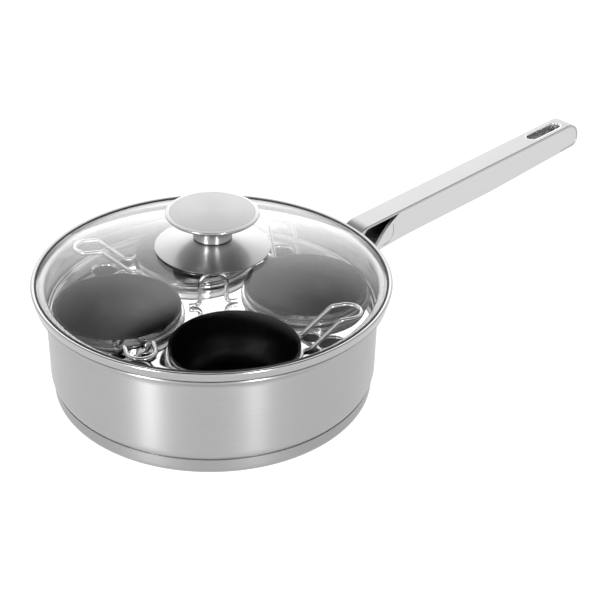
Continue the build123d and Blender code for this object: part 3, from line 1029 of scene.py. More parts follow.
@dataclass
class Workshop:
    """The finishes and trees that the sub-assemblies share."""

    finishes: dict[Slot, bpy.types.Material]
    wires: WireTree
    rings: RingTree

    def dress(
        self,
        piece: bpy.types.Object,
        slot: Slot,
        body: str,
        *nodes: str,
        finish: bpy.types.Material | None = None,
    ) -> None:
        """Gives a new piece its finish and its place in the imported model.

        Args:
            piece: The new piece.
            slot: The record's slot whose finish it takes.
            body: The body that it rides on.
            nodes: The CAD nodes that it stands for.
            finish: A finish of its own in place of the slot's.
        """
        piece.data.materials.clear()
        piece.data.materials.append(finish or self.finishes[slot])
        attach(piece, body)
        if nodes:
            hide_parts(*nodes)
        LOG.info("%s: %d faces, rides on %s", piece.name, len(piece.data.polygons), body)

    def repaint(self, frame: dict, slot: Slot, *nodes: str) -> None:
        """Gives CAD nodes whose shape stays a finish in place of their plain colour.

        Args:
            frame: The loaded model.
            slot: The slot whose finish they take.
            nodes: Names of the nodes.
        """
        for name in nodes:
            for place in frame["nodes"][name].material_slots:
                place.link = "OBJECT"
                place.material = self.finishes[slot]
            LOG.info("%s: CAD node with %s", name, self.finishes[slot].name)


# Sub-assemblies


@dataclass
class Pan:
    """Thin steel shell with a flared, rolled mouth on a capsule base. Sizes in millimetres."""

    wall_r: float = 97.2
    sheet: float = 0.8
    floor_z: float = 7.0
    corner_r: float = 10.0
    flare_foot_z: float = 60.2
    flare_bend_r: float = 6.0
    lip_r: float = 103.2
    lip_wire_r: float = 0.8
    top_z: float = 66.9
    cap_r: float = 95.7
    cap_sheet: float = 0.6
    cap_corner_r: float = 5.0
    cap_top_z: float = 10.6

    def shell_outline(self) -> list[Vector]:
        """Half section of the shell with its rolled lip.

        Returns:
            The closed outline, radius across and height up.
        """
        lip = (self.lip_r - self.lip_wire_r, self.top_z - self.lip_wire_r)
        path = rounded(
            [(0, self.floor_z), (self.wall_r, self.floor_z), (self.wall_r, self.flare_foot_z), lip],
            [self.corner_r, self.flare_bend_r],
        )
        rise = math.degrees(math.atan2(lip[1] - self.flare_foot_z, lip[0] - self.wall_r))
        roll = arc(lip, self.lip_wire_r, rise - 180, rise + 90)
        return [*path[:-1], *roll, *reversed(beside(path, self.sheet)[:-1])]

    def cap_outline(self) -> list[Vector]:
        """Half section of the thin cap under the base."""
        corners = [(0, 0), (self.cap_r, 0), (self.cap_r, self.cap_top_z)]
        return sheet_outline(rounded(corners, [self.cap_corner_r]), self.cap_sheet)

    def build(self, shop: Workshop, frame: dict) -> None:
        """Makes and dresses the shell and the base.

        Args:
            shop: The shared finishes and trees.
            frame: The loaded model.
        """
        shell = turned("pan_shell", self.shell_outline())
        shop.dress(shell, Slot.BODY, Body.PAN.value, "pan_body")
        cap = turned("base_cup", self.cap_outline())
        shop.dress(cap, Slot.BASE, Body.PAN.value, "base_cap")
        shop.repaint(frame, Slot.CORE, "base_core")


@dataclass
class Handle:
    """Top strip wrapped round the nose over a channel with an open mouth. Sizes in millimetres."""

    wall_r: float = Pan.wall_r
    pad_depth: float = 1.1
    strip_width: float = 15.9
    channel_width: float = 15.5
    strip_sheet: float = 1.6
    strip_edge_r: float = 0.7
    inner_edge_r: float = 0.3
    side_sheet: float = 2.0
    bottom_edge_r: float = 1.8
    bottom_edge_steps: int = 5
    tongue_edge_share: float = 0.2
    edge_growth: float = 14.0
    pad_foot_z: float = 45.5
    pad_top_z: float = 55.2
    knee: tuple[float, float] = (112.5, 70.2)
    nose_x: float = 318.3
    nose_top_z: float = 92.6
    nose_foot_z: float = 74.6
    strip_end_x: float = 302.0
    strip_bends: tuple[float, ...] = (9.0, 14.0, 10.6, 6.0)
    waist: tuple[float, float] = (228.5, 61.9)
    belly: tuple[float, float] = (150.7, 54.1)
    root: tuple[float, float] = (122.0, 49.7)
    channel_foot_z: float = 20.0
    channel_pad_top_z: float = 41.5
    channel_bends: tuple[float, ...] = (8.0, 16.0, 400.0, 400.0)
    mouth_top: tuple[float, float] = (151.5, 76.0)
    mouth_middle: tuple[float, float] = (133.0, 64.6)
    mouth_foot_gap: float = 0.4
    tongue_gap: float = 2.5
    hollow_start_x: float = 104.0
    hollow_overlap: float = 0.6
    slot_length: float = 31.0
    slot_width: float = 8.0
    slot_x: float = 288.5
    eyelet_wall: float = 1.0
    eyelet_edge_r: float = 0.7
    eyelet_edge_turns: tuple[float, ...] = (0.0, 0.4, 0.8, 1.2, math.pi / 2)
    eyelet_taper: float = 0.25
    facet: tuple[tuple[float, float], ...] = (
        (126.6, 54.4),
        (137.6, 66.0),
        (138.4, 58.6),
        (129.6, 52.6),
    )
    facet_depth: float = 0.6
    facet_edge_depth: float = 0.12
    facet_run: float = 8.0
    tool_half_width: float = 20.0
    tool_foot_z: float = -10.0
    tool_top_z: float = 150.0

    @property
    def upper_slope(self) -> float:
        """Rise of the strip's upper face for each millimetre of length."""
        return (self.nose_top_z - self.knee[1]) / (self.nose_x - self.knee[0])

    def upper_z(self, x: float) -> float:
        """Height of the strip's upper face at a length."""
        return self.knee[1] + self.upper_slope * (x - self.knee[0])

    def lower_z(self, x: float) -> float:
        """Height of the handle's lower line at a length between waist and nose."""
        slope = (self.nose_foot_z - self.waist[1]) / (self.nose_x - self.waist[0])
        return self.waist[1] + slope * (x - self.waist[0])

    def strip_path(self) -> list[Vector]:
        """Outer line of the strip, from its weld pad round the nose.

        Returns:
            The line's points, length across and height up.
        """
        pad_x = self.wall_r + self.pad_depth - self.strip_sheet
        corners = [
            (pad_x, self.pad_foot_z),
            (pad_x, self.pad_top_z),
            self.knee,
            (self.nose_x, self.nose_top_z),
            (self.nose_x, self.nose_foot_z),
            (self.strip_end_x, self.lower_z(self.strip_end_x)),
        ]
        return rounded(corners, self.strip_bends)

    def channel_path(self) -> list[Vector]:
        """Outer line of the channel's bottom, from its weld pad to the strip's end.

        Returns:
            The line's points, length across and height up.
        """
        pad_x = self.wall_r + self.pad_depth
        end = self.strip_path()[-1]
        corners = [
            (pad_x, self.channel_foot_z),
            (pad_x, self.channel_pad_top_z),
            self.root,
            self.belly,
            self.waist,
            (end.x, end.y),
        ]
        return rounded(corners, self.channel_bends)

    def strip_section(self) -> list[tuple[float, float]]:
        """Section of the strip as (sideways, depth below its outer line), closed.

        Returns:
            The section's points, in order round it.
        """
        side = self.strip_width / 2
        outer = [
            (side - self.strip_edge_r + p.x, self.strip_edge_r - p.y)
            for p in arc((0, 0), self.strip_edge_r, 90, 0)
        ]
        inner = [
            (side - self.inner_edge_r + p.x, self.strip_sheet - self.inner_edge_r - p.y)
            for p in arc((0, 0), self.inner_edge_r, 0, -90)
        ]
        right = outer + inner
        return right + [(-y, depth) for y, depth in reversed(right)]

    def strip(self) -> bpy.types.Object:
        """The strip before its slot is cut: its section swept along its outer line.

        Returns:
            The strip.
        """
        path = self.strip_path()
        inward = [near - far for near, far in zip(path, beside(path, 1.0))]
        rings = []
        for centre, normal in zip(path, inward):
            places = [(y, centre + normal * depth) for y, depth in self.strip_section()]
            rings.append([(place.x, y, place.y) for y, place in places])
        return loft("handle_top", rings)

    def wall_tool(self) -> bpy.types.Object:
        """The pan's wall as a solid, to cut the weld pads to its curve."""
        return disc("wall_tool", self.wall_r, self.tool_foot_z, self.tool_top_z)

    def slot_ring(self, grow: float) -> list[Vector]:
        """The slot's outline seen from above, wider by grow on every side.

        Args:
            grow: How much wider, in millimetres.

        Returns:
            The outline's points.
        """
        half = (self.slot_length - self.slot_width) / 2
        radius = self.slot_width / 2 + grow
        right = arc((self.slot_x + half, 0), radius, -90, 90)
        left = arc((self.slot_x - half, 0), radius, 90, 270)
        return right + left

    def slot_tool(self) -> bpy.types.Object:
        """The slot with its liner's wall as an upright solid.

        Returns:
            The solid.
        """
        ring = self.slot_ring(self.eyelet_wall)
        heights = (self.tool_foot_z, self.tool_top_z)
        return loft("slot_tool", [[(p.x, p.y, z) for p in ring] for z in heights])

    def mouth_path(self) -> list[Vector]:
        """Front edge of the side plates, from under the strip down to the bottom sheet.

        Returns:
            The edge's points, from the top down.
        """
        edge = through_arc(self.mouth_top, self.mouth_middle, self.root)
        drop = self.strip_sheet * math.hypot(1, self.upper_slope)
        over = [p.y - (self.upper_z(p.x) - drop) for p in edge]
        first = next(place for place, height in enumerate(over) if height < 0)
        share = over[first - 1] / (over[first - 1] - over[first])
        foot_z = self.root[1] + self.strip_sheet + self.mouth_foot_gap
        crossing = edge[first - 1].lerp(edge[first], share)
        return [crossing, *[p for p in edge[first:] if p.y > foot_z]]

    def channel(self) -> bpy.types.Object:
        """The channel: side plates and bottom, hollow, with its open mouth.

        Returns:
            The channel.
        """
        bottom = self.channel_path()
        bottom_inside = beside(bottom, self.strip_sheet)
        mouth = self.mouth_path()
        strip_inside = beside(self.strip_path(), -self.strip_sheet)
        over_mouth = [p for p in strip_inside if p.x > mouth[0].x]
        tongue = [p for p in bottom_inside if p.x < mouth[-1].x - self.tongue_gap]
        outline = [*bottom, *reversed(over_mouth), *mouth, *reversed(tongue)]
        half = self.channel_width / 2
        piece = prism("handle_channel_plates", outline, -half, half)
        self.round_bottom(piece, bottom)
        hollow_top = beside(self.strip_path(), self.hollow_overlap - self.strip_sheet)
        hollow = [p for p in [*bottom_inside, *reversed(hollow_top)] if p.x > self.hollow_start_x]
        inner = half - self.side_sheet
        cut(
            piece,
            prism("hollow_tool", hollow, -inner, inner),
            self.wall_tool(),
            self.slot_tool(),
            self.facet_tool(1),
            self.facet_tool(-1),
        )
        even_shading(piece)
        return piece

    def round_bottom(self, piece: bpy.types.Object, bottom: Sequence[Vector]) -> None:
        """Rounds the long lower edges of the channel, less at the thin tongue beside the pan.

        Args:
            piece: The channel before it is hollowed.
            bottom: Its lower line.
        """
        mesh = piece.data
        lower = {(round(p.x, SAME_DIGITS), round(p.y, SAME_DIGITS)) for p in bottom}
        weights = mesh.attributes.new("bevel_weight_edge", "FLOAT", "EDGE")
        for edge in mesh.edges:
            ends = [mesh.vertices[k].co / MM for k in edge.vertices]
            level = abs(ends[0].y - ends[1].y) < SAME_MM
            places = {(round(e.x, SAME_DIGITS), round(e.z, SAME_DIGITS)) for e in ends}
            if level and places <= lower:
                share = (min(e.x for e in ends) - self.root[0]) / self.edge_growth
                weights.data[edge.index].value = min(1.0, max(self.tongue_edge_share, share))
        modifier = piece.modifiers.new("round", "BEVEL")
        modifier.limit_method = "WEIGHT"
        modifier.width = self.bottom_edge_r * MM
        modifier.segments = self.bottom_edge_steps
        bake(piece)

    def facet_tool(self, side: int) -> bpy.types.Object:
        """A leaf-shaped wedge that takes a shallow facet off one side plate.

        Args:
            side: 1 for the plate at +Y, -1 for the other.

        Returns:
            The wedge as a solid.
        """
        front, top, bow, foot = self.facet
        leaf = [flat([front])[0], *through_arc(top, bow, foot)]
        line = (flat([top])[0] - leaf[0]).normalized()
        fade = self.facet_depth - self.facet_edge_depth
        near = []
        for p in leaf:
            away = abs((p - leaf[0]).cross(line).z)
            depth = self.facet_depth - fade * min(1.0, away / self.facet_run)
            near.append((p.x, side * (self.channel_width / 2 - depth), p.y))
        far = [(x, side * self.tool_half_width, z) for x, _, z in near]
        return loft("facet_tool", [near, far])

    def eyelet(self) -> bpy.types.Object:
        """Liner of the hanging slot, flush with top and bottom, its upper edge rounded inwards.

        Returns:
            The liner.
        """
        r = self.eyelet_edge_r
        upper = [(self.eyelet_wall, 0.0)]
        upper += [(r - r * math.sin(a), r * math.cos(a) - r) for a in self.eyelet_edge_turns]
        rings = [
            [(p.x, p.y, self.upper_z(p.x) + dip) for p in self.slot_ring(grow)]
            for grow, dip in upper
        ]
        rings += [
            [(p.x, p.y, self.lower_z(p.x)) for p in self.slot_ring(grow)]
            for grow in (self.eyelet_taper, self.eyelet_wall)
        ]
        return loft("slot_liner", rings, capped=False)

    def build(self, shop: Workshop) -> None:
        """Makes and dresses the strip, the channel and the slot's liner.

        Args:
            shop: The shared finishes and trees.
        """
        pan = Body.PAN.value
        strip = self.strip()
        cut(strip, self.wall_tool(), self.slot_tool())
        even_shading(strip)
        # The strip takes a copy of the handle's steel whose colour is painted darker, as painted
        # shade on its upper face.
        shop.dress(strip, Slot.HANDLE, pan, "handle_strip", finish=SHADED_STRIP_FINISH.build())
        shop.dress(self.channel(), Slot.HANDLE, pan, "handle_channel")
        shop.dress(self.eyelet(), Slot.HANDLE, pan, "handle_eyelet", finish=LINER_FINISH.build())


def dome(radius: float, crown_z: float, first: float, last: float, steps: int) -> list[Vector]:
    """Points along a shallow dome's section.

    Args:
        radius: Radius of the sphere.
        crown_z: Height of its top.
        first: Distance from the axis where the points start.
        last: Distance from the axis where they end.
        steps: How many steps lie between.

    Returns:
        The points, both ends included.
    """
    reaches = [first + (last - first) * k / steps for k in range(steps + 1)]
    return [Vector((r, crown_z - radius + math.sqrt(radius**2 - r**2), 0)) for r in reaches]


@dataclass
class Lid:
    """Domed glass in a pressed steel band. Sizes in millimetres."""

    pan_top_z: float = Pan.top_z
    seat_gap: float = 0.7
    band_sheet: float = 0.6
    band_lip: tuple[float, float] = (102.6, 72.9)
    band_top: tuple[float, float] = (105.0, 73.6)
    band_bends: tuple[float, ...] = (0.9, 0.8, 1.5)
    band_foot_r: float = 103.7
    collar_r: float = 96.0
    collar_foot_z: float = 61.0
    glass_r: float = 102.3
    glass_sheet: float = 4.0
    glass_crown_z: float = 93.0
    glass_rise: float = 20.5
    glass_hole_r: float = 4.5
    glass_edge_r: float = 0.6
    glass_edge_turn: float = 70.0
    dome_steps: int = 40
    gasket_inner_r: float = 101.4
    gasket_lip_r: float = 102.5
    gasket_top_z: float = 73.25
    gasket_foot_step: float = 0.9
    gasket_back_foot_r: float = 103.1
    gasket_back_top_r: float = 104.1
    gasket_edge_r: float = 0.2
    gasket_lip_gap: float = 0.1
    groove_gap: float = 0.02
    groove_foot_z: tuple[float, float] = (68.6, 68.7)
    groove_top_z: tuple[float, float] = (72.75, 72.2)

    def band(self) -> bpy.types.Object:
        """The band: lip over the gasket, side, flange on the pan's lip and collar.

        Returns:
            The band.
        """
        flange_z = self.pan_top_z + self.seat_gap
        path = rounded(
            [
                self.band_lip,
                self.band_top,
                (self.band_foot_r, flange_z),
                (self.collar_r, flange_z),
                (self.collar_r, self.collar_foot_z),
            ],
            self.band_bends,
        )
        return turned("lid_rim", sheet_outline(path, -self.band_sheet))

    def glass(self) -> bpy.types.Object:
        """The glass: a dome with ground, slightly rounded edges.

        Returns:
            The glass.
        """
        sphere_r = (self.glass_r**2 + self.glass_rise**2) / (2 * self.glass_rise)
        low_r = sphere_r - self.glass_sheet
        low_z = self.glass_crown_z - self.glass_sheet
        edge = self.glass_edge_r
        reach = self.glass_r - edge
        top = dome(sphere_r, self.glass_crown_z, self.glass_hole_r, reach, self.dome_steps)
        low = dome(low_r, low_z, self.glass_hole_r, reach, self.dome_steps)
        upper = arc((top[-1].x, top[-1].y - edge), edge, self.glass_edge_turn, 0)
        lower = arc((low[-1].x, low[-1].y + edge), edge, 0, -self.glass_edge_turn)
        return turned("lid_dome", [*top, *upper, *lower, *reversed(low)])

    def gasket(self) -> bpy.types.Object:
        """The rubber ring between the glass's edge and the band.

        Returns:
            The ring.
        """
        floor_z = self.pan_top_z + self.seat_gap + self.band_sheet
        lip_z = self.band_lip[1] - self.band_sheet - self.gasket_lip_gap
        inner_r = self.gasket_inner_r
        groove_r = self.glass_r + self.groove_gap
        edge = self.gasket_edge_r
        outline = rounded(
            [
                (inner_r + self.gasket_foot_step, floor_z),
                (inner_r, floor_z),
                (inner_r, self.groove_foot_z[0]),
                (groove_r, self.groove_foot_z[1]),
                (groove_r, self.groove_top_z[1]),
                (inner_r, self.groove_top_z[0]),
                (inner_r, self.gasket_top_z),
                (self.gasket_lip_r, self.gasket_top_z),
                (self.gasket_lip_r, lip_z),
                (self.gasket_back_top_r, lip_z),
                (self.gasket_back_foot_r, floor_z),
                (inner_r + self.gasket_foot_step, floor_z),
            ],
            [edge, 0, 0, 0, 0, edge, edge, 0, edge, edge],
        )
        return turned("lid_seal_ring", outline[:-1])

    def build(self, shop: Workshop) -> None:
        """Makes and dresses the band, the gasket and the glass.

        Args:
            shop: The shared finishes and trees.
        """
        shop.dress(self.band(), Slot.POLISHED, Body.LID.value, "lid_band")
        shop.dress(self.gasket(), Slot.RUBBER, Body.LID.value, "lid_gasket")
        shop.dress(self.glass(), Slot.GLASS, Body.LID.value, "lid_glass")


@dataclass
class Knob:
    """Flared neck with a brushed cap, over a skirt that covers the seal. Sizes in millimetres."""

    cap_r: float = 24.3
    cap_foot_z: float = 112.1
    cap_edge_z: float = 113.5
    cap_crown_z: float = 114.5
    cap_dome_steps: int = 14
    cap_edge_r: float = 0.15
    cap_edge_turn: float = 84.0
    cap_gap: float = 0.04
    rim_r: float = 26.8
    rim_z: float = 112.25
    rim_shoulder_z: float = 113.2
    rim_bends: tuple[float, float] = (0.6, 0.45)
    rim_foot: tuple[float, float] = (25.7, 111.2)
    neck_r: float = 11.2
    neck_foot_z: float = 98.0
    neck_bend_z: float = 105.2
    neck_bend_r: float = 7.0
    bore_r: float = 2.6
    bore_end_z: float = 107.0
    ring_r: float = 10.7
    ring_edge_r: float = 0.15
    skirt_top_z: float = 97.2
    skirt_sheet: float = 0.8
    shoulder_r: float = 11.8
    shoulder_bend_r: float = 3.0
    skirt_r: float = 33.3
    skirt_edge_z: float = 92.0

    def cap(self) -> bpy.types.Object:
        """The slightly domed disc.

        Returns:
            The disc.
        """
        rise = self.cap_crown_z - self.cap_edge_z
        sphere_r = (self.cap_r**2 + rise**2) / (2 * rise)
        edge = self.cap_edge_r
        top = dome(sphere_r, self.cap_crown_z, 0, self.cap_r - edge, self.cap_dome_steps)
        side = arc((self.cap_r - edge, top[-1].y - edge), edge, self.cap_edge_turn, 0)
        foot = flat([(self.cap_r, self.cap_foot_z), (0, self.cap_foot_z)])
        return turned("knob_disc", [*top, *side, *foot])

    def stem(self) -> bpy.types.Object:
        """The neck that flares out to the rounded rim.

        Returns:
            The neck and rim in one piece.
        """
        recess_r = self.cap_r + self.cap_gap
        neck = [(self.neck_r, self.neck_foot_z), (self.neck_r, self.neck_bend_z), self.rim_foot]
        flare = rounded(neck, [self.neck_bend_r])
        rim = rounded(
            [
                self.rim_foot,
                (self.rim_r, self.rim_z),
                (self.rim_r, self.rim_shoulder_z),
                (recess_r, self.cap_edge_z),
            ],
            self.rim_bends,
        )
        rest = flat(
            [
                (recess_r, self.cap_foot_z),
                (0, self.cap_foot_z),
                (0, self.bore_end_z),
                (self.bore_r, self.bore_end_z),
                (self.bore_r, self.neck_foot_z),
            ]
        )
        return turned("knob_neck", [*flare, *rim[1:], *rest])

    def ring(self) -> bpy.types.Object:
        """The black ring between neck and skirt.

        Returns:
            The ring.
        """
        outline = rounded(
            [
                (self.bore_r, self.skirt_top_z),
                (self.ring_r, self.skirt_top_z),
                (self.ring_r, self.neck_foot_z),
                (self.bore_r, self.neck_foot_z),
            ],
            [self.ring_edge_r, self.ring_edge_r],
        )
        return turned("knob_spacer", outline)

    def skirt(self) -> bpy.types.Object:
        """The thin spun skirt.

        Returns:
            The skirt.
        """
        path = rounded(
            [
                (self.bore_r, self.skirt_top_z),
                (self.shoulder_r, self.skirt_top_z),
                (self.skirt_r, self.skirt_edge_z),
            ],
            [self.shoulder_bend_r],
        )
        return turned("knob_cone", sheet_outline(path, -self.skirt_sheet))

    def build(self, shop: Workshop, frame: dict) -> None:
        """Makes and dresses the knob's pieces.

        Args:
            shop: The shared finishes and trees.
            frame: The loaded model.
        """
        lid = Body.LID.value
        brushed = KNOB_FINISH.build()
        shop.dress(self.cap(), Slot.KNOB_CAP, lid, "knob_cap")
        shop.dress(self.stem(), Slot.POLISHED, lid, "knob_stem", finish=brushed)
        shop.dress(self.ring(), Slot.RUBBER, lid, "knob_ring")
        shop.dress(self.skirt(), Slot.POLISHED, lid, "knob_skirt", finish=brushed)
        shop.repaint(frame, Slot.RUBBER, "knob_seal")
        shop.repaint(frame, Slot.FIXING, "knob_washer", "knob_screw")


@dataclass(frozen=True)
class HoleRow:
    """One kind of hole in the insert plate. Sizes in millimetres, angle in degrees."""

    name: str
    radius: float
    bend_r: float
    depth: float
    reach: float
    angle: float


@dataclass
class Insert:
    """Perforated plate with an upturned edge, a lifting loop and four wire feet.

    Sizes in millimetres.
    """

    plate_r: float = 96.0
    top_z: float = 50.5
    sheet: float = 0.8
    corner_r: float = 2.2
    rim_z: float = 53.5
    rim_wire_r: float = 0.6
    edge_roll: float = 200.0
    roll_overlap: float = 0.2
    edge_overlap: float = 0.6
    hole_overlap: float = 0.02
    large_hole_r: float = 24.0
    small_hole_sides: int = 64
    count: int = 4
    first_angle: float = -24.3
    loop_wire_r: float = 1.4
    loop_half_span: float = 7.9
    loop_top_z: float = 73.0
    loop_foot_reach: float = 14.5
    loop_bend_r: float = 3.2
    foot_wire_r: float = 1.5
    foot_reach: float = 85.0
    foot_angle: float = 58.0
    foot_half_span: float = 5.0
    floor_z: float = Pan.floor_z + Pan.sheet
    seat_gap: float = 0.3
    cup_reach: float = 56.1
    rows: tuple[HoleRow, ...] = (
        HoleRow("plate_cup_holes", 36.1, 1.4, 3.0, cup_reach, 0.0),
        HoleRow("plate_large_vents", 7.25, 1.6, 2.6, 79.5, 45.0),
        HoleRow("plate_side_vents", 4.3, 1.1, 2.0, 76.0, 34.5),
        HoleRow("plate_inner_vents", 4.5, 1.1, 2.0, 66.0, 44.5),
    )

    def hole_angle(self, row: HoleRow, place: int = 0) -> float:
        """Where one hole of a row stands, in degrees round the plate."""
        return self.first_angle + row.angle + 360 / self.count * place

    def sheet_with_holes(self) -> bpy.types.Object:
        """The plate's flat with its holes, each as wide as the foot of its rolled edge.

        Returns:
            The flat of the plate.
        """
        flat_r = self.plate_r - self.corner_r - self.edge_overlap
        plate = disc("plate_flat", flat_r, self.top_z - self.sheet, self.top_z)
        tools = []
        for row in self.rows:
            for place in range(self.count):
                tool = disc("hole_tool", row.radius + row.bend_r, 0, self.rim_z, self.sides(row))
                turn = Matrix.Rotation(math.radians(self.hole_angle(row, place)), 4, "Z")
                tool.data.transform(turn @ Matrix.Translation((row.reach * MM, 0, 0)))
                tools.append(tool)
        cut(plate, *tools)
        close_and_smooth(plate.data)
        return plate

    def sides(self, row: HoleRow) -> int:
        """How many flats make a hole round."""
        return ROUND_SIDES if row.radius > self.large_hole_r else self.small_hole_sides

    def edge(self) -> bpy.types.Object:
        """The plate's upturned, rolled edge.

        Returns:
            The edge.
        """
        rim_r = self.plate_r - self.rim_wire_r
        rim_z = self.rim_z - self.rim_wire_r
        path = rounded(
            [
                (self.plate_r - self.corner_r - self.edge_overlap, self.top_z - self.sheet),
                (self.plate_r, self.top_z - self.sheet),
                (self.plate_r, rim_z),
            ],
            [self.corner_r],
        )
        roll = arc((rim_r, rim_z), self.rim_wire_r, 0, self.edge_roll)
        inside = [p for p in reversed(beside(path, self.sheet)) if p.y < rim_z - self.roll_overlap]
        return turned("plate_edge", [*path[:-1], *roll, *inside])

    def rim(self, row: HoleRow) -> bpy.types.Object:
        """One hole's rolled edge, made on the axis.

        Args:
            row: The kind of hole.

        Returns:
            The rolled edge.
        """
        path = rounded(
            [
                (row.radius + row.bend_r + self.hole_overlap, self.top_z),
                (row.radius, self.top_z),
                (row.radius, self.top_z - row.depth),
            ],
            [row.bend_r],
        )
        return turned(row.name, sheet_outline(path, self.sheet), self.sides(row))

    def loop_path(self) -> list[Vector]:
        """Centre line of the lifting loop.

        Returns:
            The line's points, foot to foot.
        """
        foot_z = self.top_z + self.loop_wire_r
        arch_z = self.loop_top_z - self.loop_wire_r - self.loop_half_span
        leg = rounded(
            [
                (self.loop_foot_reach, 0, foot_z),
                (self.loop_half_span, 0, foot_z),
                (self.loop_half_span, 0, arch_z),
            ],
            [self.loop_bend_r],
        )
        bow = [Vector((p.x, 0, p.y)) for p in arc((0, arch_z), self.loop_half_span, 0, 90)]
        half = [*leg[:-1], *bow]
        other = [Vector((-p.x, p.y, p.z)) for p in reversed(half[:-1])]
        turn = Matrix.Rotation(math.radians(self.first_angle), 3, "Z")
        return [turn @ p for p in [*half, *other]]

    def foot_path(self, index: int) -> list[Vector]:
        """Centre line of one foot.

        Args:
            index: Which foot, from 0.

        Returns:
            The line's points, plate to plate.
        """
        bend_z = self.floor_z + self.seat_gap + self.foot_wire_r + self.foot_half_span
        span = self.foot_half_span
        bow = [Vector((0, p.x, p.y)) for p in arc((0, bend_z), span, 0, -180)]
        top_z = self.top_z - self.sheet
        path = [Vector((0, span, top_z)), *bow, Vector((0, -span, top_z))]
        angle = self.first_angle + self.foot_angle + 360 / self.count * index
        turn = Matrix.Rotation(math.radians(angle), 3, "Z")
        return [turn @ (p + Vector((self.foot_reach, 0, 0))) for p in path]

    def build(self, shop: Workshop) -> None:
        """Makes and dresses the plate, its rolled holes, the loop and the feet.

        Args:
            shop: The shared finishes and trees.
        """
        insert = Body.INSERT.value
        shop.dress(self.sheet_with_holes(), Slot.MIRROR, insert, "insert_plate")
        shop.dress(self.edge(), Slot.MIRROR, insert)
        mirror = shop.finishes[Slot.MIRROR]
        for row in self.rows:
            rim = self.rim(row)
            shop.rings.spread(rim, self.count, row.reach, self.hole_angle(row), mirror)
            shop.dress(rim, Slot.MIRROR, insert)
        bright = shop.finishes[Slot.WIRE]
        loop = shop.wires.lay("lifting_loop", self.loop_path(), False, self.loop_wire_r, bright)
        shop.dress(loop, Slot.WIRE, insert, "insert_loop")
        for index in range(self.count):
            name = f"wire_foot_{index + 1}"
            foot = shop.wires.lay(name, self.foot_path(index), False, self.foot_wire_r, bright)
            shop.dress(foot, Slot.WIRE, insert, f"insert_foot_{index + 1}")


# How far each cup is turned about its own axis, in degrees, as the four loops show.
CUP_TURNS = (0.0, 1.3, 3.0, 3.6)


